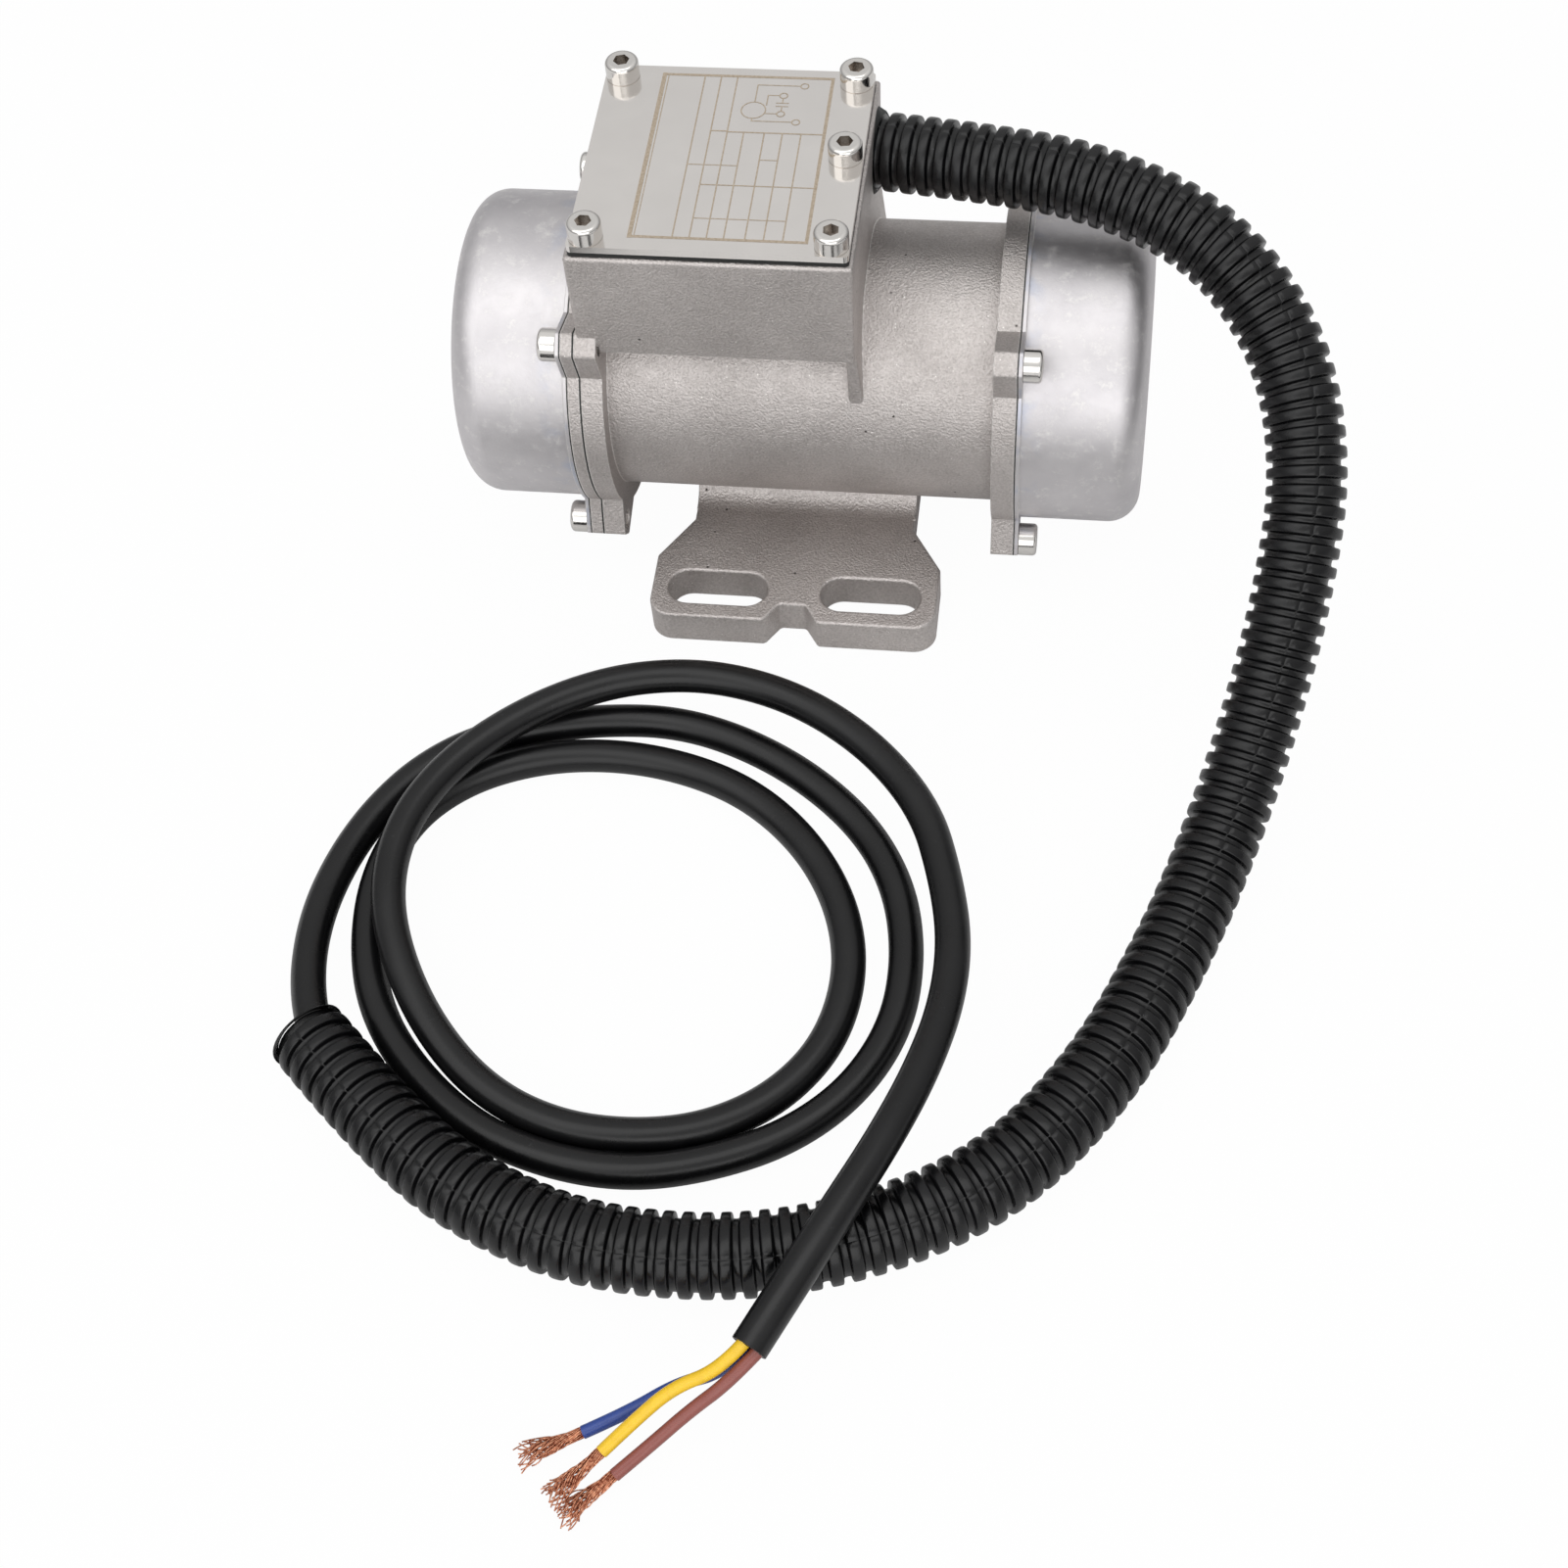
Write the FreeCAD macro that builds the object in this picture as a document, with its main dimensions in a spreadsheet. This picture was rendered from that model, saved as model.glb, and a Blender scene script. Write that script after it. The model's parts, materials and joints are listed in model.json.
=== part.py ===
import FreeCAD, Part
import math
import os
import Sketcher

# Small single-phase vibration motor: a cast stainless housing with slotted feet and a terminal box,
# two drawn end covers over the eccentric weights, a corrugated conduit and a three-core cable.
# Millimetres. X runs along the shaft, Z is up, and the origin is the centre of the four foot slots
# on the underside of the feet.

Vector = FreeCAD.Vector
doc = FreeCAD.newDocument("vibration_motor")
sheet = doc.addObject("Spreadsheet::Sheet", "sizes")

DRIVING_SIZES = [
    # housing casting
    ("axis_height", 42.0),
    ("barrel_diameter", 59.0),
    ("bore_diameter", 52.0),
    ("slots_to_left_face", 43.1),
    ("housing_length", 90.55),
    ("left_flange_thickness", 4.6),
    ("right_flange_thickness", 4.85),
    ("end_wall_thickness", 14.0),
    ("flange_diameter", 68.0),
    ("lug_across", 82.6),
    ("lug_flat", 4.8),
    ("lug_root", 13.8),
    ("lug_corner_radius", 1.0),
    ("flange_screw_circle", 75.6),
    # foot and pedestal
    ("foot_thickness", 8.4),
    ("foot_width", 63.4),
    ("foot_depth", 95.8),
    ("foot_corner_radius", 5.0),
    ("foot_rim_radius", 0.6),
    ("shoulder_start", 19.8),
    ("shoulder_end", 31.0),
    ("notch_width", 11.8),
    ("notch_floor", 5.6),
    ("notch_depth", 4.7),
    ("slot_spacing_along", 34.0),
    ("slot_edge_distance", 8.5),
    ("slot_length", 22.0),
    ("slot_width", 9.2),
    ("relief_depth", 1.2),
    ("relief_reach", 27.0),
    ("pedestal_width", 49.6),
    ("pedestal_depth", 23.0),
    ("pedestal_fillet", 5.5),
    # terminal box and lid
    ("lid_length", 56.0),
    ("lid_depth", 54.6),
    ("lid_thickness", 1.5),
    ("lid_left_overlap", 1.3),
    ("lid_corner_radius", 1.0),
    ("seal_thickness", 1.0),
    ("box_rim", 0.8),
    ("box_wall", 3.4),
    ("box_inside_height", 21.8),
    ("box_floor_thickness", 3.5),
    ("box_floor_rise", 0.7),
    ("box_draft", 0.5),
    ("box_edge_radius", 0.7),
    ("gusset_inset", 1.7),
    ("gusset_thickness", 2.0),
    ("gusset_flare", 2.4),
    ("lid_screw_inset_along", 3.6),
    ("lid_screw_inset_across", 3.3),
    ("lid_screw_offset", 1.5),
    ("boss_diameter", 8.0),
    # covers and joint packings
    ("cover_diameter", 65.8),
    ("cover_depth", 26.2),
    ("cover_sheet", 0.8),
    ("cover_corner_radius", 6.6),
    ("packing_thickness", 0.25),
    ("shield_packing", 0.35),
    ("shield_thickness", 2.5),
    ("spigot_depth", 2.0),
    # cap screws
    ("screw_diameter", 4.0),
    ("screw_head_diameter", 7.0),
    ("screw_head_height", 4.0),
    ("socket_across", 3.0),
    ("socket_depth", 2.2),
    ("head_round", 0.9),
    ("head_seat_chamfer", 0.15),
    ("lid_screw_length", 8.0),
    ("left_screw_length", 8.0),
    ("right_screw_length", 5.5),
    # bearings and shaft
    ("bearing_bore", 12.0),
    ("bearing_outside", 32.0),
    ("bearing_width", 10.0),
    ("race_inside", 18.0),
    ("race_outside", 26.0),
    ("ball_diameter", 5.9),
    ("ball_count", 7),
    ("cage_thickness", 1.5),
    ("cage_width", 7.8),
    ("bearing_inset", 3.8),
    ("hub_wall", 3.0),
    ("wave_washer_height", 0.7),
    ("circlip_thickness", 1.0),
    ("seat_lip", 3.0),
    ("shaft_core_diameter", 15.0),
    ("shaft_overhang", 4.0),
    # motor
    ("core_length", 40.0),
    ("core_offset", 2.0),
    ("rotor_diameter", 27.4),
    ("air_gap", 0.3),
    ("stator_slots", 12),
    ("slot_opening", 3.2),
    ("slot_reach", 21.0),
    ("end_turn_length", 9.0),
    ("end_ring_length", 5.0),
    ("end_ring_diameter", 25.0),
    # eccentric weights
    ("weight_radius", 26.0),
    ("weight_thickness", 8.0),
    ("weight_angle", 160.0),
    ("weight_hub_diameter", 25.0),
    ("weight_gap", 0.3),
    ("spacer_length", 5.0),
    ("spacer_diameter", 17.0),
    ("key_width", 4.0),
    ("key_height", 4.0),
    ("grub_screw_diameter", 5.0),
    # conduit, cable and cores
    ("conduit_diameter", 16.0),
    ("conduit_bore", 12.0),
    ("conduit_back", 17.9),
    ("conduit_rise", 12.1),
    ("conduit_seat_depth", 2.0),
    ("cable_diameter", 7.1),
    ("core_diameter", 2.5),
    ("strand_diameter", 1.6),
    ("strand_flare", 4.2),
    ("strand_length", 13.0),
    ("bush_length", 3.4),
    ("bush_wall", 1.0),
    ("sealant_width", 1.4),
    # shared fits
    ("press_gap", 0.03),
    ("running_gap", 0.05),
    ("loose_gap", 0.25),
]

# Sizes worked out from the ones above.
DERIVED_SIZES = [
    ("left_face", "0 - slots_to_left_face"),
    ("right_face", "left_face + housing_length"),
    ("shield_inner", "left_face - shield_packing"),
    ("shield_outer", "shield_inner - shield_thickness"),
    ("left_seat", "shield_outer - packing_thickness"),
    ("right_seat", "right_face + packing_thickness"),
    ("left_head_seat", "left_seat - cover_sheet"),
    ("right_head_seat", "right_seat + cover_sheet"),
    ("lug_reach", "sqrt(flange_diameter ^ 2 / 4 - lug_root ^ 2 / 4) - 0.4"),
    ("box_floor_height", "axis_height + barrel_diameter / 2 + box_floor_rise"),
    ("box_overhang_height", "box_floor_height - box_floor_thickness"),
    ("box_top", "box_floor_height + box_inside_height"),
    ("lid_top_height", "box_top + seal_thickness + lid_thickness"),
    ("lid_left", "left_face + lid_left_overlap"),
    ("lid_right", "lid_left + lid_length"),
    ("box_left", "lid_left - box_rim"),
    ("box_right", "lid_right + box_rim"),
    ("box_back", "lid_depth / 2 + box_rim"),
    ("bore_end", "right_face - end_wall_thickness"),
    ("core_left", "(left_face + right_face - core_length) / 2 - core_offset"),
    ("core_right", "core_left + core_length"),
    ("left_bearing_left", "shield_outer + bearing_inset"),
    ("left_bearing_right", "left_bearing_left + bearing_width"),
    ("right_bearing_right", "right_face - circlip_thickness - 0.2"),
    ("right_bearing_left", "right_bearing_right - bearing_width"),
    ("ball_circle", "(race_inside + race_outside) / 4"),
    ("groove_radius", "ball_diameter / 2 + running_gap"),
    ("left_weight_right", "left_bearing_left - spacer_length"),
    ("left_weight_left", "left_weight_right - weight_thickness"),
    ("left_adjustable_left", "left_weight_left - weight_gap - weight_thickness"),
    ("right_weight_left", "right_bearing_right + spacer_length"),
    ("right_weight_right", "right_weight_left + weight_thickness"),
    ("right_adjustable_left", "right_weight_right + weight_gap"),
    ("right_adjustable_right", "right_adjustable_left + weight_thickness"),
    ("shaft_left", "left_adjustable_left - shaft_overhang"),
    ("shaft_right", "right_adjustable_right + shaft_overhang"),
    ("conduit_start", "box_right - box_draft - conduit_seat_depth"),
    ("conduit_height", "box_floor_height + conduit_rise"),
    ("slot_spacing_across", "foot_depth - 2 * slot_edge_distance"),
]

ALIASES = [alias for alias, value in DRIVING_SIZES + DERIVED_SIZES]
for row, (alias, value) in enumerate(DRIVING_SIZES, start=1):
    sheet.set("A%d" % row, str(value))
    sheet.setAlias("A%d" % row, alias)
for row, (alias, expression) in enumerate(DERIVED_SIZES, start=1):
    sheet.set("B%d" % row, "=" + expression)
    sheet.setAlias("B%d" % row, alias)
probe = doc.addObject("Spreadsheet::Sheet", "probe")
doc.recompute()


def size(alias):
    """The present value of a cell."""
    return float(sheet.get(alias))


UPRIGHT = FreeCAD.Rotation()
ALONG_X = FreeCAD.Rotation(Vector(0, 1, 0), 90)
# a flat sketch turned so that its x is the object's Y, its y is Z and its normal is X
FACING_X = FreeCAD.Rotation(Vector(0, 1, 0), Vector(0, 0, 1), Vector(1, 0, 0), "ZXY")


def place(item, across=("0", "0", "0"), turn=UPRIGHT):
    """Turns an object, then binds its base point to three expressions."""
    item.Placement = FreeCAD.Placement(Vector(0, 0, 0), turn)
    for axis, expression in zip("xyz", across):
        item.setExpression("Placement.Base." + axis, bound(expression))
    return item


def bound(expression):
    """Writes every alias in an expression as a reference to the sheet."""
    words = []
    word = ""
    for letter in expression + " ":
        if letter.isalnum() or letter == "_":
            word += letter
            continue
        words.append("sizes." + word if word in ALIASES else word)
        words.append(letter)
        word = ""
    return "".join(words).strip()


def block(name, low, span):
    """A box from its low corner and its three spans, all expressions."""
    item = doc.addObject("Part::Box", name)
    for side, expression in zip(("Length", "Width", "Height"), span):
        item.setExpression(side, bound(expression))
    return place(item, low)


def rod(name, radius, length, start, turn=ALONG_X, angle=360.0):
    """A cylinder from the centre of its first end, along X unless it is turned."""
    item = doc.addObject("Part::Cylinder", name)
    item.setExpression("Radius", bound(radius))
    item.setExpression("Height", bound(length))
    item.Angle = angle
    return place(item, start, turn)


def shaft_rod(name, radius, left, right):
    """A cylinder on the motor's axis between two X expressions."""
    return rod(name, radius, "(%s) - (%s)" % (right, left), (left, "0", "axis_height"))


def ring(name, outer, inner, left, right):
    """A washer-shaped piece on the motor's axis."""
    return cut(name, shaft_rod(name + "_solid", outer, left, right),
               shaft_rod(name + "_hole", inner, left + " - 1", right + " + 1"))


def joined(name, items):
    item = doc.addObject("Part::MultiFuse", name)
    item.Shapes = items
    item.Refine = True
    return item


def cut(name, solid, *tools):
    """Takes one or more tools away from a solid."""
    item = doc.addObject("Part::Cut", name)
    item.Base = solid
    item.Tool = tools[0] if len(tools) == 1 else joined(name + "_tools", list(tools))
    item.Refine = True
    return item


def outline(name, corners, turn=UPRIGHT, start=("0", "0", "0")):
    """A closed sketch whose every corner is bound to a pair of expressions."""
    sketch = doc.addObject("Sketcher::SketchObject", name)
    values = [(value_of(across), value_of(up)) for across, up in corners]
    count = len(corners)
    lines = []
    for index in range(count):
        first = Vector(values[index][0], values[index][1], 0)
        last = Vector(values[(index + 1) % count][0], values[(index + 1) % count][1], 0)
        lines.append(Part.LineSegment(first, last))
    sketch.addGeometry(lines, False)
    for index in range(count):
        sketch.addConstraint(Sketcher.Constraint("Coincident", index, 2, (index + 1) % count, 1))
    for index, pair in enumerate(corners):
        for kind, expression, value in zip(("DistanceX", "DistanceY"), pair, values[index]):
            number = sketch.addConstraint(Sketcher.Constraint(kind, -1, 1, index, 1, value))
            sketch.setExpression("Constraints[%d]" % number, bound(expression))
    return place(sketch, start, turn)


def value_of(expression):
    """The present value of an expression, worked out in a sheet that nothing depends on."""
    probe.set("A1", "=" + bound(expression))
    probe.recompute()
    return float(probe.get("A1"))


def extruded(name, sketch, length):
    item = doc.addObject("Part::Extrusion", name)
    item.Base = sketch
    item.DirMode = "Normal"
    item.Solid = True
    item.setExpression("LengthFwd", bound(length))
    return item


def rounded(name, solid, radius, wanted):
    """Fillets the edges that the test picks."""
    return edged("Part::Fillet", name, solid, radius, wanted)


def chamfered(name, solid, width, wanted):
    """Chamfers the edges that the test picks."""
    return edged("Part::Chamfer", name, solid, width, wanted)


def edged(kind, name, solid, amount, wanted):
    doc.recompute()
    picked = [number for number, edge in enumerate(solid.Shape.Edges, start=1) if wanted(edge)]
    item = doc.addObject(kind, name)
    item.Base = solid
    item.Edges = [(number, amount, amount) for number in picked]
    return item


def is_upright(edge):
    """Whether an edge is a straight line along Z."""
    box = edge.BoundBox
    return max(box.XLength, box.YLength) < 0.01 and box.ZLength > 0.01


def is_round_at(edge, x, radius):
    """Whether an edge is a whole circle about the motor's axis, at X, with this radius."""
    box = edge.BoundBox
    flat = box.XLength < 0.01 and abs(box.XMin - x) < 0.01
    return flat and abs(box.YLength - 2 * radius) < 0.01 and abs(box.ZLength - 2 * radius) < 0.01


PIECES = {}


def piece(name, item):
    """Keeps a finished object as one sub-part, under its own label."""
    item.Label = name
    PIECES[name] = item
    return item


def shape_piece(name, shape):
    """Keeps a finished shape as one sub-part."""
    item = doc.addObject("Part::Feature", name)
    item.Shape = shape
    return piece(name, item)


# Where the conduit and the cable enter the box's right wall, slightly turned towards the front.
EXIT = Vector(size("conduit_start"), size("conduit_back"), size("conduit_height"))
FIRST_BEND = EXIT + Vector(25.5, -4.3, 1.3)
ENTRY = (FIRST_BEND - EXIT).normalize()
ENTRY_TURN = FreeCAD.Rotation(Vector(0, 0, 1), ENTRY)


def entry_rod(name, radius, length, ahead):
    """A cylinder along the conduit's first direction, from a distance ahead of its inner end."""
    start = ("conduit_start + (%s) * %.6f" % (ahead, ENTRY.x),
             "conduit_back + (%s) * %.6f" % (ahead, ENTRY.y),
             "conduit_height + (%s) * %.6f" % (ahead, ENTRY.z))
    return rod(name, radius, length, start, ENTRY_TURN)


# Flange outline: a disc with four trapezoid lugs at 45 degrees, shared by the housing's two ends,
# the end shield, both covers and every packing between them.
LUG_BAR = [
    ("0 - lug_across / 2", "0 - lug_flat / 2"),
    ("0 - lug_reach", "0 - lug_root / 2"),
    ("lug_reach", "0 - lug_root / 2"),
    ("lug_across / 2", "0 - lug_flat / 2"),
    ("lug_across / 2", "lug_flat / 2"),
    ("lug_reach", "lug_root / 2"),
    ("0 - lug_reach", "lug_root / 2"),
    ("0 - lug_across / 2", "lug_flat / 2"),
]
LUG_ANGLES = (45, 135)
SCREW_ANGLES = (45, 135, 225, 315)


def flange_plate(name, left, thickness, hole_diameter):
    """A flange plate with its screw holes, from its left face."""
    parts = [rod(name + "_disc", "flange_diameter / 2", thickness, (left, "0", "axis_height"))]
    for angle in LUG_ANGLES:
        turn = FreeCAD.Rotation(Vector(1, 0, 0), angle).multiply(FACING_X)
        bar = outline(name + "_lugs_%d" % angle, LUG_BAR, turn, (left, "0", "axis_height"))
        parts.append(extruded(name + "_bar_%d" % angle, bar, thickness))
    soft = rounded(name + "_soft", joined(name + "_plate", parts), size("lug_corner_radius"), is_lug_corner)
    return cut(name + "_drilled", soft, *flange_holes(name, left, thickness, hole_diameter))


def is_lug_corner(edge):
    """Whether an edge runs along X at the outer end of a lug."""
    box = edge.BoundBox
    radius = math.hypot(box.Center.y, box.Center.z - size("axis_height"))
    return max(box.YLength, box.ZLength) < 0.01 and radius > size("lug_across") / 2 - 0.5


def flange_holes(name, left, thickness, hole_diameter):
    """The four screw holes of a flange, longer than it is thick."""
    holes = []
    for angle in SCREW_ANGLES:
        across = "flange_screw_circle / 2 * cos(%d deg)" % angle
        up = "axis_height + flange_screw_circle / 2 * sin(%d deg)" % angle
        start = (left + " - 1", across, up)
        holes.append(rod(name + "_hole_%d" % angle, "(%s) / 2" % hole_diameter, thickness + " + 2", start))
    return holes


# Housing: one casting with barrel, both flanges, end wall, pedestal, slotted feet and terminal box.
FOOT_CORNERS = [
    ("pedestal_width / 2", "0 - shoulder_start"),
    ("foot_width / 2", "0 - shoulder_end"),
    ("foot_width / 2", "0 - foot_depth / 2"),
    ("notch_width / 2", "0 - foot_depth / 2"),
    ("notch_floor / 2", "notch_depth - foot_depth / 2"),
]


def mirrored_corners(corners):
    """Four-fold copies of a quarter outline, in order round the whole outline."""
    def flipped(expression):
        return "0 - (%s)" % expression
    quarter = list(corners)
    left = [(flipped(x), y) for x, y in reversed(quarter)]
    half = quarter + left
    back = [(x, flipped(y)) for x, y in reversed(half)]
    return half + back


def foot_plate():
    sketch = outline("foot_outline", mirrored_corners(FOOT_CORNERS))
    plate = extruded("foot_plate", sketch, "foot_thickness")
    side = size("foot_width") / 2
    end = size("foot_depth") / 2

    def at_corner(edge):
        box = edge.BoundBox
        return is_upright(edge) and abs(abs(box.XMin) - side) < 0.01 and abs(abs(box.YMin) - end) < 0.01

    corners = rounded("foot_corners", plate, size("foot_corner_radius"), at_corner)
    doc.recompute()
    soft = rounded("foot_bends", corners, 1.2, lambda edge: sharp_bend(edge, side, end))
    tools = []
    for side_x in (-1, 1):
        for side_y in (-1, 1):
            tools.append(foot_slot("foot_slot_%d_%d" % (side_x, side_y), side_x, side_y))
    tools.append(block("foot_relief", ("0 - foot_width", "0 - relief_reach", "-1"),
                       ("2 * foot_width", "2 * relief_reach", "1 + relief_depth")))
    slotted = cut("foot_slotted", soft, *tools)
    doc.recompute()
    top = size("foot_thickness")
    return rounded("foot", slotted, size("foot_rim_radius"), lambda edge: edge.BoundBox.ZMin > top - 0.01)


def sharp_bend(edge, side, end):
    """Whether an upright edge is one of the notch's or shoulder's bends."""
    box = edge.BoundBox
    x = abs(box.XMin)
    y = abs(box.YMin)
    notch = x < size("notch_width") / 2 + 0.01
    shoulder = abs(x - side) < 0.01 and abs(y - size("shoulder_end")) < 0.01
    return is_upright(edge) and (notch or shoulder)


def foot_slot(name, side_x, side_y):
    """A round-ended through slot, longer along X."""
    centre_x = "%d * slot_spacing_along / 2" % side_x
    centre_y = "%d * slot_spacing_across / 2" % side_y
    half = "(slot_length - slot_width) / 2"
    middle = block(name + "_middle",
                   (centre_x + " - " + half, centre_y + " - slot_width / 2", "-1"),
                   ("slot_length - slot_width", "slot_width", "foot_thickness + 2"))
    ends = [rod(name + "_end_%d" % sign, "slot_width / 2", "foot_thickness + 2",
                (centre_x + (" + " if sign > 0 else " - ") + half, centre_y, "-1"), UPRIGHT)
            for sign in (-1, 1)]
    return joined(name, [middle] + ends)


def pedestal():
    """The upright block between foot and barrel, with a hollow fillet down to each foot."""
    core = block("pedestal_core", ("0 - pedestal_width / 2", "0 - pedestal_depth / 2", "relief_depth"),
                 ("pedestal_width", "pedestal_depth", "axis_height - relief_depth"))
    skirt = block("pedestal_skirt",
                  ("0 - pedestal_width / 2", "0 - pedestal_depth / 2 - pedestal_fillet",
                   "foot_thickness - 1"),
                  ("pedestal_width", "pedestal_depth + 2 * pedestal_fillet", "pedestal_fillet + 1"))
    hollows = []
    for sign in (-1, 1):
        start = ("0 - pedestal_width", "%d * (pedestal_depth / 2 + pedestal_fillet)" % sign,
                 "foot_thickness + pedestal_fillet")
        hollows.append(rod("pedestal_hollow_%d" % sign, "pedestal_fillet", "2 * pedestal_width", start))
    return joined("pedestal", [core, cut("pedestal_fillets", skirt, *hollows)])


def terminal_box():
    """The box's outer block with soft edges and a drafted right side, its gusset plate and its neck."""
    sketch = outline("box_outline", [
        ("box_left", "box_overhang_height"),
        ("box_right - box_draft", "box_overhang_height"),
        ("box_right", "box_top"),
        ("box_left", "box_top"),
    ], FreeCAD.Rotation(Vector(1, 0, 0), 90), ("0", "box_back", "0"))
    outer = extruded("box_outer", sketch, "2 * box_back")
    soft = rounded("box_corners", outer, size("box_edge_radius"), lambda edge: edge.BoundBox.ZLength > 5)
    doc.recompute()
    rim = rounded("box_rim_round", soft, size("box_edge_radius") * 0.9,
                  lambda edge: edge.BoundBox.ZMin > size("box_top") - 0.01)
    gusset = outline("gusset_outline", [
        ("box_right - box_draft - gusset_thickness", "axis_height"),
        ("box_right - box_draft + gusset_flare", "axis_height"),
        ("box_right - box_draft", "box_overhang_height + 1"),
        ("box_right - box_draft - gusset_thickness", "box_overhang_height + 1"),
    ], FreeCAD.Rotation(Vector(1, 0, 0), 90), ("0", "box_back - gusset_inset", "0"))
    plate = extruded("gusset_plate", gusset, "2 * (box_back - gusset_inset)")
    blend = rounded("gusset_tips", plate, size("box_edge_radius"), lambda edge: edge.BoundBox.ZLength > 5)
    web = block("box_web", ("box_left + lid_left_overlap", "0 - pedestal_depth / 2", "axis_height"),
                ("box_right - box_draft - box_left - lid_left_overlap", "pedestal_depth",
                 "box_overhang_height - axis_height + 1"))
    return joined("terminal_box", [rim, blend, web])


LID_SCREWS = [
    ("lid_left + lid_screw_inset_along", "0 - lid_depth / 2 + lid_screw_inset_across"),
    ("lid_left + lid_screw_inset_along", "lid_depth / 2 - lid_screw_inset_across"),
    ("lid_right - lid_screw_inset_along", "0 - lid_depth / 2 + lid_screw_inset_across"),
    ("lid_right - lid_screw_inset_along", "lid_depth / 2 - lid_screw_inset_across"),
    ("lid_right - lid_screw_inset_along", "lid_screw_offset"),
]


def box_cavity():
    """The space inside the terminal box, with a screw boss left standing at each lid screw."""
    space = block("cavity_space", ("box_left + box_wall", "0 - box_back + box_wall", "box_floor_height"),
                  ("box_right - box_left - 2 * box_wall - box_draft", "2 * (box_back - box_wall)",
                   "box_top - box_floor_height + 1"))
    bosses = [rod("boss_%d" % number, "boss_diameter / 2", "box_top - box_floor_height + 4",
                  (x, y, "box_floor_height - 1"), UPRIGHT)
              for number, (x, y) in enumerate(LID_SCREWS)]
    return cut("cavity", space, *bosses)


def housing():
    barrel = shaft_rod("barrel", "barrel_diameter / 2", "left_face + 1", "right_face - 1")
    left = flange_plate("left_flange", "left_face", "left_flange_thickness", "screw_diameter")
    right = flange_plate("right_flange", "right_face - right_flange_thickness",
                         "right_flange_thickness", "screw_diameter")
    solid = joined("housing_solid", [barrel, left, right, foot_plate(), pedestal(), terminal_box()])
    tools = [
        shaft_rod("stator_bore", "bore_diameter / 2", "left_face - 1", "bore_end"),
        shaft_rod("right_seat_bore", "bearing_outside / 2 + press_gap",
                  "right_bearing_left - wave_washer_height", "right_face + 1"),
        shaft_rod("right_shaft_hole", "race_outside / 2 - 0.5", "bore_end - 1", "right_face"),
        shaft_rod("circlip_groove", "bearing_outside / 2 + 0.8", "right_bearing_right",
                  "right_bearing_right + circlip_thickness"),
        box_cavity(),
        entry_rod("conduit_seat", "conduit_diameter / 2 + press_gap", "box_wall * 3", "0"),
        entry_rod("cable_hole", "cable_diameter / 2 + bush_wall + press_gap", "box_wall * 3",
                  "0 - box_wall * 2"),
        rod("lead_hole", "3.5", "box_floor_height - axis_height",
            ("box_left + box_wall + 7", "0", "axis_height + 15"), UPRIGHT),
    ]
    tools += flange_holes("left_tapping", "left_face", "left_screw_length - 4", "screw_diameter")
    for number, (x, y) in enumerate(LID_SCREWS):
        tools.append(rod("lid_tapping_%d" % number, "screw_diameter / 2 + press_gap",
                         "lid_screw_length", (x, y, "box_top - lid_screw_length + 1"), UPRIGHT))
    return piece("housing", cut("housing", solid, *tools))


# Lid, its rubber seal and the screws that hold it.
def lid_plate(name, low, thickness):
    """A rectangular plate as large as the lid, with rounded corners and the five screw holes."""
    plate = block(name + "_plate", ("lid_left", "0 - lid_depth / 2", low),
                  ("lid_length", "lid_depth", thickness))
    soft = rounded(name + "_corners", plate, size("lid_corner_radius"), is_upright)
    holes = [rod(name + "_hole_%d" % number, "screw_diameter / 2 + loose_gap", thickness + " + 2",
                 (x, y, low + " - 1"), UPRIGHT)
             for number, (x, y) in enumerate(LID_SCREWS)]
    return soft, holes


def terminal_lid():
    soft, holes = lid_plate("terminal_lid", "lid_top_height - lid_thickness", "lid_thickness")
    drilled = cut("terminal_lid", soft, *holes)
    return piece("terminal_lid", drilled)


def lid_seal():
    soft, holes = lid_plate("lid_seal", "box_top", "seal_thickness")
    window = block("lid_seal_window", ("box_left + box_wall + 4", "0 - box_back + box_wall + 4", "box_top - 1"),
                   ("lid_length - 2 * box_wall - 12", "2 * (box_back - box_wall - 4)", "seal_thickness + 2"))
    return piece("lid_seal", cut("lid_seal", soft, window, *holes))


def cap_screw(name, length):
    """A socket-head cap screw with its head's seat at the origin and its shank along -Z."""
    head = rod(name + "_head", "screw_head_diameter / 2", "screw_head_height", ("0", "0", "0"), UPRIGHT)
    top = size("screw_head_height")
    domed = rounded(name + "_domed", head, size("head_round"),
                    lambda edge: edge.BoundBox.ZMin > top - 0.01)
    doc.recompute()
    eased = chamfered(name + "_eased", domed, size("head_seat_chamfer"),
                      lambda edge: edge.BoundBox.ZMax < 0.01)
    shank = rod(name + "_shank", "screw_diameter / 2 - press_gap", length,
                ("0", "0", "0 - (%s)" % length), UPRIGHT)
    socket = doc.addObject("Part::Prism", name + "_socket")
    socket.Polygon = 6
    socket.setExpression("Circumradius", bound("socket_across / sqrt(3)"))
    socket.setExpression("Height", bound("socket_depth + 1"))
    place(socket, ("0", "0", "screw_head_height - socket_depth"))
    screw = cut(name, joined(name + "_solid", [eased, shank]), socket)
    doc.recompute()
    return screw.Shape


def placed_copies(shape, places):
    """One compound of the shape at each placement."""
    copies = []
    for placement in places:
        copy = shape.copy()
        copy.Placement = placement.multiply(shape.Placement)
        copies.append(copy)
    return Part.makeCompound(copies)


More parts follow.
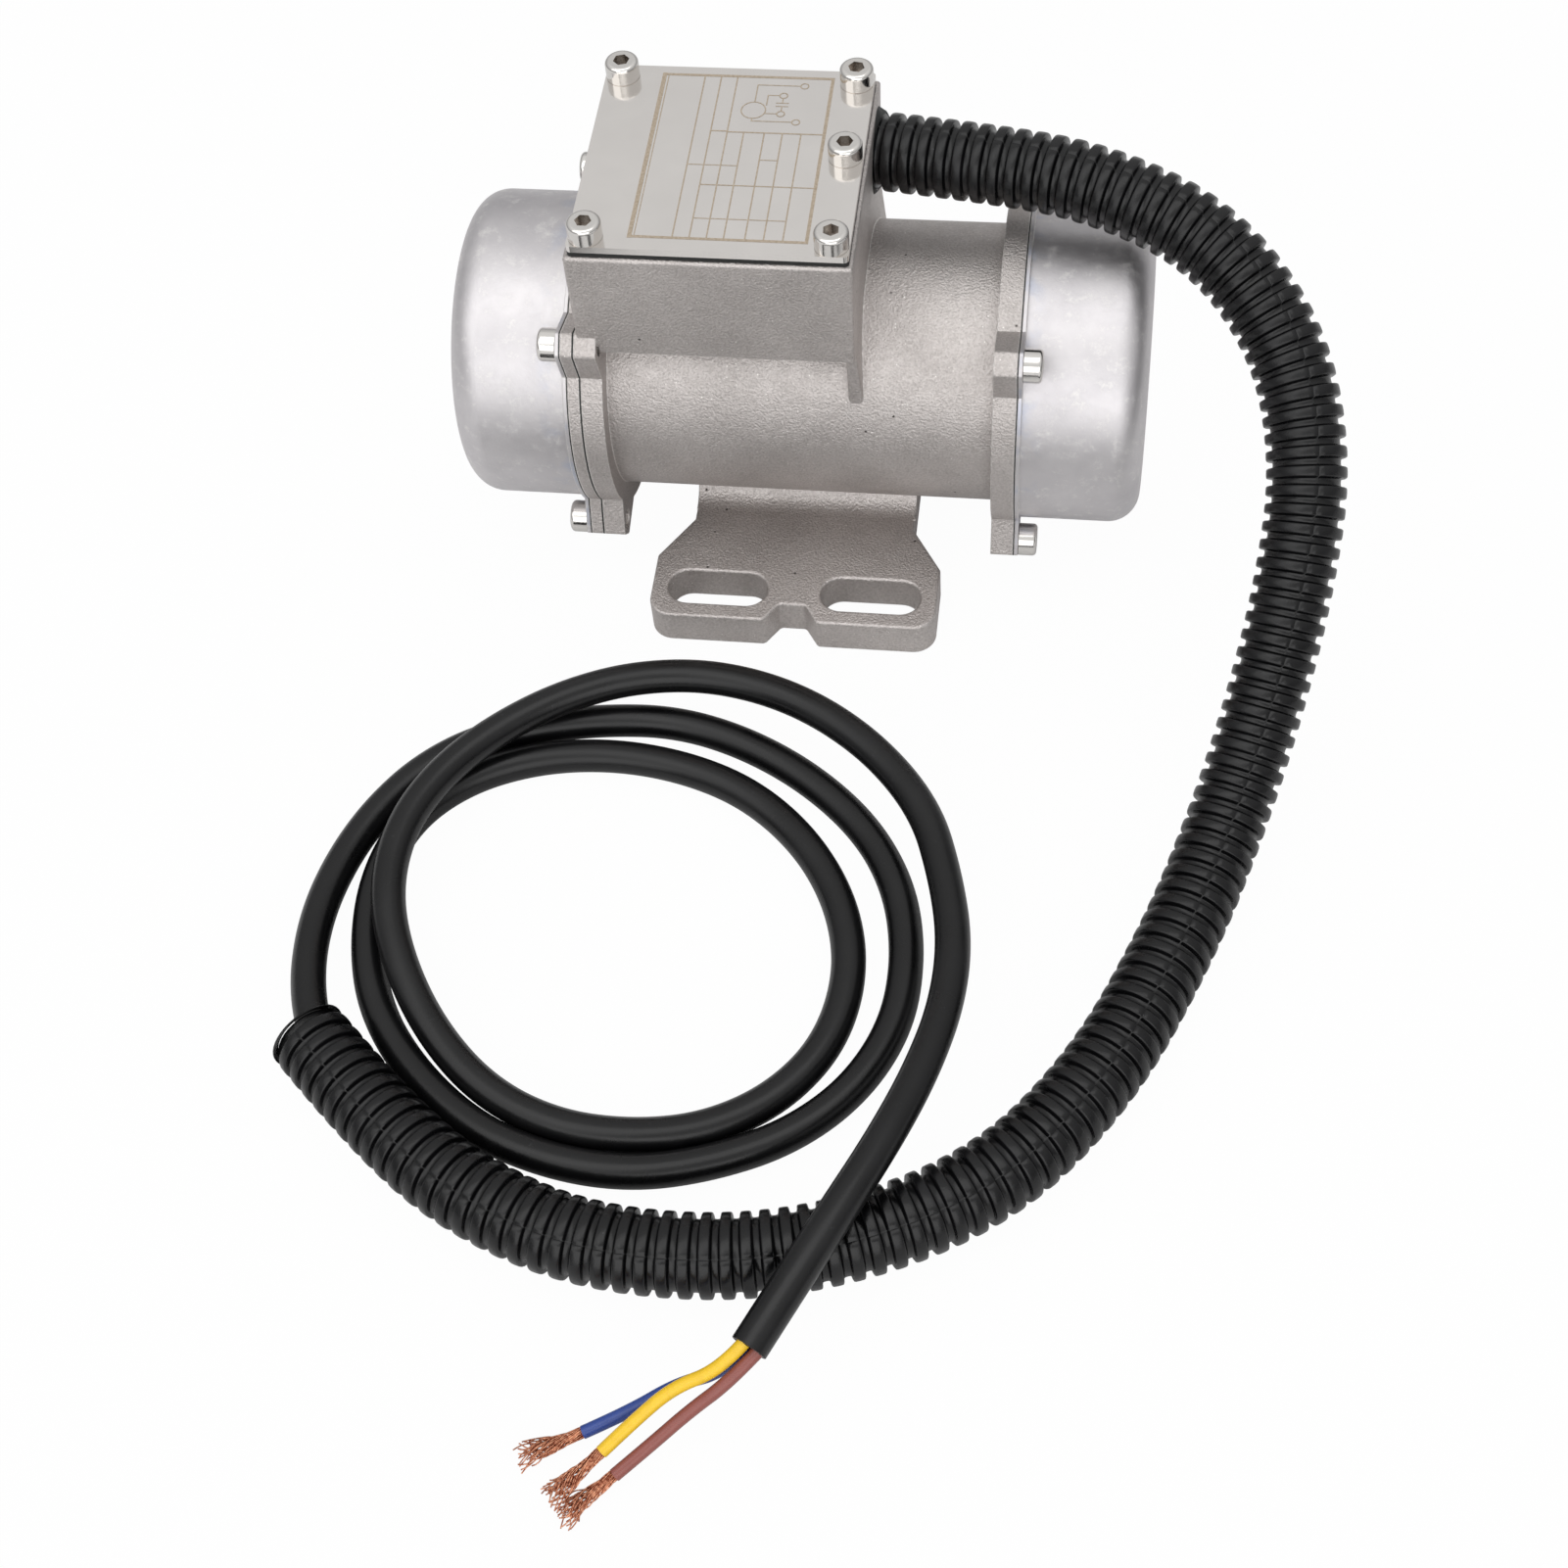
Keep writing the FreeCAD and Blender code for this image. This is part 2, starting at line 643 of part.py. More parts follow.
def lid_screws():
    shape = cap_screw("lid_screw", "lid_screw_length")
    top = size("lid_top_height")
    places = [FreeCAD.Placement(Vector(value_of(x), value_of(y), top),
                                FreeCAD.Rotation(Vector(0, 0, 1), 17 * number))
              for number, (x, y) in enumerate(LID_SCREWS)]
    return shape_piece("lid_screws", placed_copies(shape, places))


def flange_screws(name, length, head_seat, outward):
    """Four cap screws round a flange, their heads pointing out along X."""
    shape = cap_screw(name + "_screw", length)
    radius = size("flange_screw_circle") / 2
    places = []
    for angle in SCREW_ANGLES:
        centre = Vector(size(head_seat), radius * math.cos(math.radians(angle)),
                        size("axis_height") + radius * math.sin(math.radians(angle)))
        places.append(FreeCAD.Placement(centre, FreeCAD.Rotation(Vector(0, 1, 0), 90 * outward)))
    return shape_piece(name, placed_copies(shape, places))


# End shield: flange plate with a spigot in the bore and an inward hub for the left bearing.
def end_shield():
    plate = flange_plate("shield", "shield_outer", "shield_thickness", "screw_diameter + 2 * loose_gap")
    spigot = ring("shield_spigot", "bore_diameter / 2 - press_gap", "bore_diameter / 2 - 4",
                  "shield_inner - 0.5", "left_face + spigot_depth")
    hub = shaft_rod("shield_hub", "bearing_outside / 2 + hub_wall", "shield_inner - 0.5",
                    "left_bearing_right")
    solid = joined("shield_solid", [plate, spigot, hub])
    seat = shaft_rod("shield_seat", "bearing_outside / 2 + press_gap", "left_bearing_left",
                     "left_bearing_right + 1")
    hole = shaft_rod("shield_hole", "race_outside / 2 - 2", "shield_outer - 1", "left_bearing_right")
    return piece("end_shield", cut("end_shield", solid, seat, hole))


def packing(name, left, thickness, inner):
    """A thin joint packing with the flange's outline."""
    plate = flange_plate(name, left, thickness, "screw_diameter + 2 * loose_gap")
    hole = shaft_rod(name + "_opening", inner, left + " - 1", left + " + 1 + " + thickness)
    return piece(name, cut(name, plate, hole))


# Covers: deep-drawn cups with a large end radius and a sheet flange that follows the lugs.
def cover(name, seat, outward):
    """A drawn cup whose flange lies on the seat and whose closed end points along outward."""
    end = "%s + %d * cover_depth" % (seat, outward)
    sheet_end = "%s + %d * (cover_depth - cover_sheet)" % (seat, outward)
    flange_left = seat if outward > 0 else seat + " - cover_sheet"
    flange = flange_plate(name + "_flange", flange_left, "cover_sheet", "screw_diameter + 2 * loose_gap")
    left, right = (seat, end) if outward > 0 else (end, seat)
    shell = shaft_rod(name + "_cup", "cover_diameter / 2", left, right)
    end_x = value_of(end)
    outer_radius = size("cover_diameter") / 2
    cup = rounded(name + "_cup_corner", shell, size("cover_corner_radius"),
                  lambda edge: is_round_at(edge, end_x, outer_radius))
    inner_left = seat + " - 1" if outward > 0 else sheet_end
    inner_right = sheet_end if outward > 0 else seat + " + 1"
    space = shaft_rod(name + "_space", "cover_diameter / 2 - cover_sheet", inner_left, inner_right)
    inner_x = value_of(sheet_end)
    inner_radius = outer_radius - size("cover_sheet")
    hollow = rounded(name + "_space_corner", space, size("cover_corner_radius") - size("cover_sheet"),
                     lambda edge: is_round_at(edge, inner_x, inner_radius))
    return piece(name, cut(name, joined(name + "_solid", [flange, cup]), hollow))


# Ball bearings: rings with a groove for the balls, the balls and their cage.


def bearing(side, left):
    """The four nodes of one deep-groove bearing, from its left face."""
    right = left + " + bearing_width"
    middle = left + " + bearing_width / 2"
    for name, outer, inner in (
            ("_bearing_outer_ring", "bearing_outside / 2", "race_outside / 2"),
            ("_bearing_inner_ring", "race_inside / 2", "bearing_bore / 2 + press_gap")):
        blank = ring(side + name + "_blank", outer, inner, left, right)
        piece(side + name, cut(side + name, blank, race_groove(side + name, middle)))
    radius = size("ball_circle")
    centre_x = value_of(middle)
    ball = Part.makeSphere(size("ball_diameter") / 2)
    count = int(size("ball_count"))
    centres = []
    for number in range(count):
        angle = 2 * math.pi * number / count + math.pi / 2
        centres.append(Vector(centre_x, radius * math.cos(angle),
                              size("axis_height") + radius * math.sin(angle)))
    shape_piece(side + "_bearing_balls", placed_copies(ball, [
        FreeCAD.Placement(centre, UPRIGHT) for centre in centres]))
    annulus = ring(side + "_cage_blank", "ball_circle + cage_thickness / 2",
                   "ball_circle - cage_thickness / 2", middle + " - cage_width / 2",
                   middle + " + cage_width / 2")
    pockets = []
    for number, centre in enumerate(centres):
        pocket = doc.addObject("Part::Sphere", side + "_pocket_%d" % number)
        pocket.setExpression("Radius", bound("groove_radius + running_gap"))
        pocket.Placement = FreeCAD.Placement(centre, UPRIGHT)
        pockets.append(pocket)
    piece(side + "_ball_cage", cut(side + "_ball_cage", annulus, *pockets))


def race_groove(name, middle):
    groove = doc.addObject("Part::Torus", name + "_groove")
    groove.setExpression("Radius1", bound("ball_circle"))
    groove.setExpression("Radius2", bound("groove_radius"))
    return place(groove, (middle, "0", "axis_height"), ALONG_X)


def bearing_fittings():
    """The wave washer behind the right bearing and the circlip in front of it."""
    washer = ring("wave_washer", "bearing_outside / 2 - loose_gap", "race_outside / 2 + loose_gap",
                  "right_bearing_left - wave_washer_height", "right_bearing_left")
    piece("wave_washer", washer)
    clip = ring("bearing_circlip_blank", "bearing_outside / 2 + 0.7", "race_outside / 2 + 0.8",
                "right_bearing_right", "right_bearing_right + circlip_thickness")
    gap = block("bearing_circlip_gap", ("right_bearing_right - 1", "-3", "axis_height - bearing_outside"),
                ("circlip_thickness + 2", "6", "bearing_outside"))
    piece("bearing_circlip", cut("bearing_circlip", clip, gap))


# Stator and rotor.
def stator():
    blank = ring("core_blank", "bore_diameter / 2 - press_gap", "rotor_diameter / 2 + air_gap",
                 "core_left", "core_right")
    slots = [spoke("core_slot_%d" % number, number, "core_left - 1", "core_length + 2",
                   "slot_opening", "rotor_diameter / 2 - 1", "slot_reach")
             for number in range(int(size("stator_slots")))]
    piece("stator_core", cut("stator_core", blank, *slots))
    main = [ring("main_turns_%s" % end, "slot_reach + 2", "slot_reach - 3.5", left, right)
            for end, left, right in end_turns("end_turn_length")]
    start = [ring("start_turns_%s" % end, "slot_reach - 3.8", "rotor_diameter / 2 + 1.4", left, right)
             for end, left, right in end_turns("end_turn_length - 3")]
    for number in range(int(size("stator_slots"))):
        bar = spoke("winding_bar_%d" % number, number, "core_left", "core_length",
                    "slot_opening - 2 * running_gap", "rotor_diameter / 2 + 1", "slot_reach - running_gap")
        (start if number % 3 == 0 else main).append(bar)
    piece("main_winding", joined("main_winding", main))
    piece("start_winding", joined("start_winding", start))


def end_turns(reach):
    """The X spans of the overhanging turns at each end of the core."""
    return (("left", "core_left - (%s)" % reach, "core_left"),
            ("right", "core_right", "core_right + " + reach))


def spoke(name, number, left, length, width, inner, outer):
    """A bar along the core in one slot, between two radii."""
    item = doc.addObject("Part::Box", name)
    item.setExpression("Length", bound(length))
    item.setExpression("Width", bound(width))
    item.setExpression("Height", bound("%s - (%s)" % (outer, inner)))
    angle = 360.0 * number / size("stator_slots")
    turn = FreeCAD.Rotation(Vector(1, 0, 0), angle)
    sine = "sin(%.6f deg)" % angle
    cosine = "cos(%.6f deg)" % angle
    half = "(%s) / 2" % width
    return place(item, (left, "0 - (%s) * %s - (%s) * %s" % (half, cosine, inner, sine),
                        "axis_height - (%s) * %s + (%s) * %s" % (half, sine, inner, cosine)), turn)


def rotor():
    piece("rotor_core", ring("rotor_core", "rotor_diameter / 2", "shaft_core_diameter / 2 + press_gap",
                             "core_left", "core_right"))
    rings = []
    for end, left, right in end_turns("end_ring_length"):
        rings.append(ring("end_ring_" + end, "end_ring_diameter / 2", "shaft_core_diameter / 2 + 1",
                          left, right))
    doc.recompute()
    shape_piece("rotor_end_rings", Part.makeCompound([item.Shape.copy() for item in rings]))


def shaft():
    spans = [
        shaft_rod("shaft_journals", "bearing_bore / 2", "shaft_left", "shaft_right"),
        shaft_rod("shaft_body", "shaft_core_diameter / 2", "left_bearing_right", "right_bearing_left"),
    ]
    solid = chamfered("shaft_ends", joined("shaft_solid", spans), 0.6,
                      lambda edge: is_round_at(edge, size("shaft_left"), size("bearing_bore") / 2)
                      or is_round_at(edge, size("shaft_right"), size("bearing_bore") / 2))
    tools = [keyway("left_keyway", "left_weight_left"), keyway("right_keyway", "right_weight_left")]
    for side, left in (("left", "left_adjustable_left - weight_gap - circlip_thickness"),
                       ("right", "right_adjustable_right + weight_gap")):
        groove = ring(side + "_end_groove", "bearing_bore", "bearing_bore / 2 - 0.5", left,
                      left + " + circlip_thickness")
        tools.append(groove)
    return piece("shaft", cut("shaft", solid, *tools))


def keyway(name, left):
    """The slot in the shaft's top for one weight's key."""
    return block(name, (left, "0 - key_width / 2", "axis_height + bearing_bore / 2 - key_height / 2"),
                 ("weight_thickness", "key_width", "key_height"))


def keys():
    """The two keys that hold the fixed weights to the shaft, as separate solids."""
    bars = [block(side + "_key",
                  (left + " + running_gap", "0 - key_width / 2 + running_gap",
                   "axis_height + bearing_bore / 2 - key_height / 2 + running_gap"),
                  ("weight_thickness - 2 * running_gap", "key_width - 2 * running_gap",
                   "key_height - 2 * running_gap"))
            for side, left in (("left", "left_weight_left"), ("right", "right_weight_left"))]
    doc.recompute()
    shape_piece("weight_keys", Part.makeCompound([bar.Shape.copy() for bar in bars]))


def end_clips():
    """Circlips in the grooves at both shaft ends, as separate solids."""
    clips = []
    for side, left in (("left", "left_adjustable_left - weight_gap - circlip_thickness"),
                       ("right", "right_adjustable_right + weight_gap")):
        clip = ring(side + "_end_clip_blank", "bearing_bore / 2 + 3", "bearing_bore / 2 - 0.45",
                    left + " + running_gap", left + " + circlip_thickness - running_gap")
        gap = block(side + "_end_clip_gap", (left + " - 1", "-2.5", "axis_height"),
                    ("circlip_thickness + 2", "5", "bearing_bore"))
        clips.append(cut(side + "_end_clip", clip, gap))
    doc.recompute()
    shape_piece("shaft_end_clips", Part.makeCompound([clip.Shape.copy() for clip in clips]))


def spacers():
    """Sleeves between each bearing's inner ring and its fixed weight, as separate solids."""
    sleeves = [ring("left_spacer", "spacer_diameter / 2", "bearing_bore / 2 + press_gap",
                    "left_weight_right", "left_bearing_left"),
               ring("right_spacer", "spacer_diameter / 2", "bearing_bore / 2 + press_gap",
                    "right_bearing_right", "right_weight_left")]
    doc.recompute()
    shape_piece("weight_spacers", Part.makeCompound([sleeve.Shape.copy() for sleeve in sleeves]))


# Eccentric weights: a sector of steel plate on a hub, heavy side down at rest.
def weight(name, left, bore_gap, keyed):
    turn = FreeCAD.Rotation(Vector(1, 0, 0), -90 - size("weight_angle") / 2).multiply(FACING_X)
    sector = doc.addObject("Part::Cylinder", name + "_sector")
    sector.setExpression("Radius", bound("weight_radius"))
    sector.setExpression("Height", bound("weight_thickness"))
    sector.setExpression("Angle", bound("weight_angle"))
    place(sector, (left, "0", "axis_height"), turn)
    hub = rod(name + "_hub", "weight_hub_diameter / 2", "weight_thickness", (left, "0", "axis_height"))
    tools = [shaft_rod(name + "_bore", "bearing_bore / 2 + " + bore_gap, left + " - 1",
                       left + " + weight_thickness + 1")]
    if keyed:
        tools.append(block(name + "_keyway", (left + " - 1", "0 - key_width / 2", "axis_height"),
                           ("weight_thickness + 2", "key_width",
                            "bearing_bore / 2 + key_height / 2 + running_gap")))
    else:
        tools.append(rod(name + "_tapping", "grub_screw_diameter / 2 + press_gap", "weight_hub_diameter",
                         (left + " + weight_thickness / 2", "0", "axis_height"), UPRIGHT))
    return piece(name, cut(name, joined(name + "_solid", [sector, hub]), *tools))


def grub_screw(name, left):
    """The screw that clamps an adjustable weight, in its hub on the light side."""
    centre = left + " + weight_thickness / 2"
    low = "axis_height + bearing_bore / 2 + running_gap"
    length = "weight_hub_diameter / 2 - bearing_bore / 2 - 2 * running_gap"
    body = rod(name + "_body", "grub_screw_diameter / 2", length, (centre, "0", low), UPRIGHT)
    socket = doc.addObject("Part::Prism", name + "_socket")
    socket.Polygon = 6
    socket.setExpression("Circumradius", bound("grub_screw_diameter / 3.6"))
    socket.setExpression("Height", bound("grub_screw_diameter"))
    place(socket, (centre, "0", low + " + " + length + " - 2.5"))
    return piece(name, cut(name, body, socket))


# Terminal box contents.
def capacitor():
    case = block("capacitor_case", ("box_left + box_wall + 12", "0 - box_back + box_wall + 1",
                                    "box_floor_height"), ("28", "16", "15"))
    soft = rounded("capacitor_case_soft", case, 1.5, is_upright)
    return piece("capacitor", soft)


def terminal_block():
    body = block("terminal_body", ("box_left + box_wall + 14", "-3", "box_floor_height"), ("26", "12", "11"))
    pockets = []
    screws = []
    for number in range(3):
        x = "box_left + box_wall + 18.5 + %.1f" % (8.5 * number)
        pockets.append(rod("terminal_pocket_%d" % number, "2.6", "8", (x, "3", "box_floor_height + 5"),
                           UPRIGHT))
        stem = rod("terminal_stem_%d" % number, "2.3", "3", (x, "3", "box_floor_height + 5"), UPRIGHT)
        slit = block("terminal_slit_%d" % number, (x + " - 3", "2.6", "box_floor_height + 7.2"),
                     ("6", "0.8", "2"))
        screws.append(cut("terminal_screw_%d" % number, stem, slit))
    piece("terminal_block", cut("terminal_block", body, *pockets))
    doc.recompute()
    shape_piece("terminal_screws", Part.makeCompound([screw.Shape.copy() for screw in screws]))


def earth_screw():
    head = rod("earth_head", "3.3", "2.6", ("box_right - box_draft - box_wall - 4.6", "-14",
                                            "box_floor_height"), UPRIGHT)
    slit = block("earth_slit", ("box_right - box_draft - box_wall - 8.6", "-14.4", "box_floor_height + 1.6"),
                 ("8", "0.8", "2"))
    return piece("earth_screw", cut("earth_screw", head, slit))


# Cords. A tube follows straight runs joined by tangent arcs: each arc's radius is 0.45 of its
# shorter run over the tangent of half the turn.
def rounded_route(points):
    """The wire of a route, its length, and the radii of its arcs."""
    edges = []
    radii = []
    start = points[0]
    for before, corner, after in zip(points, points[1:], points[2:]):
        incoming = (corner - before).normalize()
        outgoing = (after - corner).normalize()
        turn = incoming.getAngle(outgoing)
        reach = 0.45 * min((corner - before).Length, (after - corner).Length)
        radius = reach / math.tan(turn / 2)
        radii.append(radius)
        enter = corner - incoming * reach
        leave = corner + outgoing * reach
        bisector = (outgoing - incoming).normalize()
        middle = corner + bisector * (radius / math.cos(turn / 2) - radius)
        edges.append(Part.LineSegment(start, enter).toShape())
        edges.append(Part.Arc(enter, middle, leave).toShape())
        start = leave
    edges.append(Part.LineSegment(start, points[-1]).toShape())
    wire = Part.Wire(edges)
    return wire, radii


def tube(name, points, diameter, hole=0.0):
    """A round cord, or a pipe if it has a hole, along a route."""
    wire, radii = rounded_route(points)
    direction = (points[1] - points[0]).normalize()
    shape = swept(wire, points[0], direction, diameter)
    area = math.pi * diameter ** 2 / 4
    if hole:
        shape = shape.cut(swept(wire, points[0], direction, hole))
        area -= math.pi * hole ** 2 / 4
    share = shape.Volume / (area * wire.Length)
    print("%s: length %.1f, volume share %.3f, radii %s"
          % (name, wire.Length, share, " ".join("%.0f" % radius for radius in radii)))
    return shape


def swept(wire, start, direction, diameter):
    circle = Part.Wire(Part.Circle(start, direction, diameter / 2).toShape())
    return wire.makePipeShell([circle], True, True, 2)


def route(*places):
    return [Vector(*place) for place in places]


CONDUIT_ROUTE = [EXIT, FIRST_BEND] + route(
    (62, 7.6, 86.4), (85, -2.2, 82), (101, -18.5, 70.5), (107, -38, 56), (105.2, -57.9, 40),
    (100.6, -77.8, 24.5), (94.8, -97, 12.8), (86.8, -121.3, 8.1), (72.8, -154.5, 8.1), (52.2, -180.4, 8.1),
    (18.2, -196.3, 8.1), (-17.5, -198.5, 8.1), (-45, -189.6, 8.1), (-66.7, -173.6, 8.1),
    (-83.2, -157.9, 8.1))


def conduit():
    shape_piece("conduit", tube("conduit", CONDUIT_ROUTE, size("conduit_diameter"), size("conduit_bore")))


def sealant():
    """The bead of sealing compound round the conduit, against the box's drafted wall."""
    bead = entry_rod("sealant_bead", "conduit_diameter / 2 + 0.7", "sealant_width + 3.0", "0")
    hole = entry_rod("sealant_hole", "conduit_diameter / 2 + press_gap", "sealant_width + 8", "-2")
    wall = doc.getObject("box_outer")
    return piece("conduit_sealant", cut("conduit_sealant", bead, hole, wall))


def cable_bush():
    """The rubber bush that grips the cable in the box wall, behind the conduit's end."""
    body = entry_rod("bush_body", "cable_diameter / 2 + bush_wall", "bush_length", "0 - bush_length")
    hole = entry_rod("bush_hole", "cable_diameter / 2 + press_gap", "bush_length + 2",
                     "0 - bush_length - 1")
    return piece("cable_bush", cut("cable_bush", body, hole))


# The cable lies in a loose coil of two turns and a half, which is one closed ring here: its two
# outlines are ellipses, each with its centre, half spans and turn in degrees.
COIL_OUTER = ((-20.3, -123.4), (65.0, 57.0), -21.7)
COIL_INNER = ((-26.4, -127.3), (46.5, 37.0), -29.6)
COIL_HEIGHT = 2.0 * size("cable_diameter") + 0.4


def ellipse_column(outline_values, height):
    centre, spans, turn = outline_values
    wire = Part.Wire(Part.Ellipse(Vector(0, 0, 0), spans[0], spans[1]).toShape())
    column = Part.Face(wire).extrude(Vector(0, 0, height))
    spin = FreeCAD.Rotation(Vector(0, 0, 1), turn)
    column.Placement = FreeCAD.Placement(Vector(centre[0], centre[1], 0), spin)
    return column


INSIDE = EXIT - ENTRY * 9.0
CABLE_LEADS_IN = route(
    (-66.7, -173.6, 8.1), (-80.2, -160.6, 7.9), (-86.4, -146.5, 6.4), (-88.7, -131, 4.8), (-87.3, -116.5, 3.9),
    (-82.7, -103, 3.9), (-75.2, -91, 3.9), (-64.7, -82.2, 3.9))
CABLE_TAIL = route(
    (39.7, -113.5, 11.6), (42.8, -129, 12.6), (42.3, -145, 14.6), (38.7, -161.5, 17.6), (33.2, -177.5, 20.2),
    (25.8, -193.5, 20.8), (19.8, -205.5, 19.2), (13.5, -217.5, 16.6))


def cable():
    points = [INSIDE] + CONDUIT_ROUTE[1:-2] + CABLE_LEADS_IN
    shape_piece("cable", tube("cable", points, size("cable_diameter")))
    coil = ellipse_column(COIL_OUTER, COIL_HEIGHT).cut(ellipse_column(COIL_INNER, COIL_HEIGHT))
    shape_piece("cable_coil", coil)
    shape_piece("cable_tail", tube("cable_tail", CABLE_TAIL, size("cable_diameter")))


# The three cores that leave the cable's cut end, and their bared strands.
CORE_ROUTES = {
    "blue_core": [(13.1, -216.7, 15.25), (8.9, -220.1, 10.6), (0.5, -221.8, 7.4), (-7.9, -226.9, 4.6),
                  (-15.9, -230.8, 2.8)],
    "earth_core": [(12.7, -217, 17.75), (8.6, -221.5, 15), (0.5, -224.1, 11.6), (-6, -229.4, 8),
                   (-11.5, -235, 5.6)],
    "brown_core": [(15.1, -217.95, 16.35), (10.4, -223.1, 13.8), (3.6, -227.2, 9), (-2.9, -232.8, 5.6),
                   (-8.9, -238.2, 3.4)],
}


def cores():
    strands = []
    for name, places in CORE_ROUTES.items():
        points = route(*places)
        shape_piece(name, tube(name, points, size("core_diameter")))
        heading = (points[-1] - points[-2]).normalize()
        level = Vector(heading.x, heading.y, heading.z * 0.1).normalize()
        strands.append(Part.makeCone(size("strand_diameter") / 2, size("strand_flare") / 2,
                                     size("strand_length"), points[-1], level))
    shape_piece("bare_strands", Part.makeCompound(strands))


def inside_leads():
    """The cable's cores and the windings' leads, up to the terminal block."""
    left = size("box_left") + size("box_wall")
    floor = size("box_floor_height")
    supply = []
    motor = []
    for number in range(3):
        screw_x = left + 18.5 + 8.5 * number
        first = INSIDE + Vector(0, 1.9 * math.cos(2.1 * number), 1.9 * math.sin(2.1 * number))
        points = [first, first + Vector(-4, 0.5, 0.5), Vector(screw_x, 13.5, floor + 9),
                  Vector(screw_x, 9.8, floor + 4)]
        supply.append(tube("supply_lead", points, 1.6))
        low = Vector(left + 7 + 2.1 * (number - 1), 0.6 * number, size("axis_height") + size("slot_reach") - 1)
        points = [low, low + Vector(0, 0, 14 + number), Vector(left + 10, 0.6 + 2.4 * number, floor + 4),
                  Vector(left + 14, 0.6 + 2.4 * number, floor + 4)]
        motor.append(tube("motor_lead", points, 1.6))
    shape_piece("supply_leads", Part.makeCompound(supply))
    shape_piece("motor_leads", Part.makeCompound(motor))


housing()
terminal_lid()
lid_seal()
lid_screws()
end_shield()
packing("shield_packing_ring", "shield_inner", "shield_packing", "bore_diameter / 2")
packing("left_cover_packing", "left_seat", "packing_thickness", "cover_diameter / 2 - cover_sheet")
packing("right_cover_packing", "right_face", "packing_thickness", "cover_diameter / 2 - cover_sheet")
cover("left_cover", "left_seat", -1)
cover("right_cover", "right_seat", 1)
flange_screws("left_flange_screws", "left_screw_length", "left_head_seat", -1)
flange_screws("right_flange_screws", "right_screw_length", "right_head_seat", 1)
bearing("left", "left_bearing_left")
bearing("right", "right_bearing_left")
bearing_fittings()
stator()
rotor()
shaft()
keys()
spacers()
end_clips()
weight("left_fixed_weight", "left_weight_left", "press_gap", True)
weight("right_fixed_weight", "right_weight_left", "press_gap", True)
weight("left_adjustable_weight", "left_adjustable_left", "running_gap", False)
weight("right_adjustable_weight", "right_adjustable_left", "running_gap", False)
grub_screw("left_grub_screw", "left_adjustable_left")
grub_screw("right_grub_screw", "right_adjustable_left")
capacitor()
terminal_block()
earth_screw()
sealant()
cable_bush()
conduit()
cable()
cores()
inside_leads()
doc.recompute()

for item in doc.Objects:
    if "Invalid" in item.State or "Error" in item.State:
        raise RuntimeError("%s did not recompute: %s" % (item.Name, item.State))
for name, item in PIECES.items():
    if item.Shape.isNull() or not item.Shape.isValid() or not item.Shape.Solids:
        raise RuntimeError("%s has no valid solid" % name)

os.makedirs("parts", exist_ok=True)
for name, item in PIECES.items():
    item.Shape.exportStep("parts/%s.step" % name)
    print("%-26s solids %2d  volume %10.1f" % (name, len(item.Shape.Solids), item.Shape.Volume))
print(len(PIECES), "pieces")
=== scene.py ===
import json
import math
import random

import bmesh
import bpy
from mathutils import Matrix, Vector


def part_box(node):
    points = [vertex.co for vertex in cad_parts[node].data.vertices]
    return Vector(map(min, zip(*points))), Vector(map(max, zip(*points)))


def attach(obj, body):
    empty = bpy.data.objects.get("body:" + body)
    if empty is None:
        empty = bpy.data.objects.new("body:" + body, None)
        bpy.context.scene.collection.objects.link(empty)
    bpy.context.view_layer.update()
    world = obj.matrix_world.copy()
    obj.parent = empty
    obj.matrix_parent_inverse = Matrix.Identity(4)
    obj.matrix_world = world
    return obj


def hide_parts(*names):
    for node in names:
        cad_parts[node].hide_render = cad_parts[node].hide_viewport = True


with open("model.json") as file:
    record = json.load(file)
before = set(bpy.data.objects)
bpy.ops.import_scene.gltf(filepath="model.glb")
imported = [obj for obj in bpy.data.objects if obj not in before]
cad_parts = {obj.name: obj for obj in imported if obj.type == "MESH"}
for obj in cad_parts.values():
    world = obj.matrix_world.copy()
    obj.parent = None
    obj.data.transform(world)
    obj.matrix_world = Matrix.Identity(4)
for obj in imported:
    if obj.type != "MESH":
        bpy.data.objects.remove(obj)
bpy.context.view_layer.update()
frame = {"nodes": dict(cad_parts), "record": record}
scene = bpy.context.scene
random.seed(7)


# Camera: in front of the motor, well above it and a little to its right, leaning slightly.
CAMERA_PLACE = (0.06406, -0.37847, 0.42845)
YAW, TILT, ROLL = math.radians(-11.80), math.radians(-55.04), math.radians(-6.0)
ahead = Vector((math.sin(YAW) * math.cos(TILT), math.cos(YAW) * math.cos(TILT), math.sin(TILT)))
level_right = ahead.cross(Vector((0, 0, 1))).normalized()
right = Matrix.Rotation(-ROLL, 3, ahead) @ level_right
up = right.cross(ahead)
camera = bpy.data.objects.new("camera", bpy.data.cameras.new("camera"))
scene.collection.objects.link(camera)
camera.matrix_world = (Matrix.Translation(CAMERA_PLACE)
                       @ Matrix((right, up, -ahead)).transposed().to_4x4())
camera.data.sensor_width = 36.0
camera.data.lens = 56.38
camera.data.clip_start = 0.01
camera.data.clip_end = 20.0
scene.camera = camera
scene.view_settings.view_transform = "Standard"


# Materials share these. Patterns follow the object's own coordinates in millimetres, so that each
# has its real size.
def srgb(code):
    """The linear colour, with full alpha, of an sRGB hex code."""
    values = []
    for start in (0, 2, 4):
        share = int(code[start:start + 2], 16) / 255
        values.append(share / 12.92 if share <= 0.04045 else ((share + 0.055) / 1.055) ** 2.4)
    return (*values, 1.0)


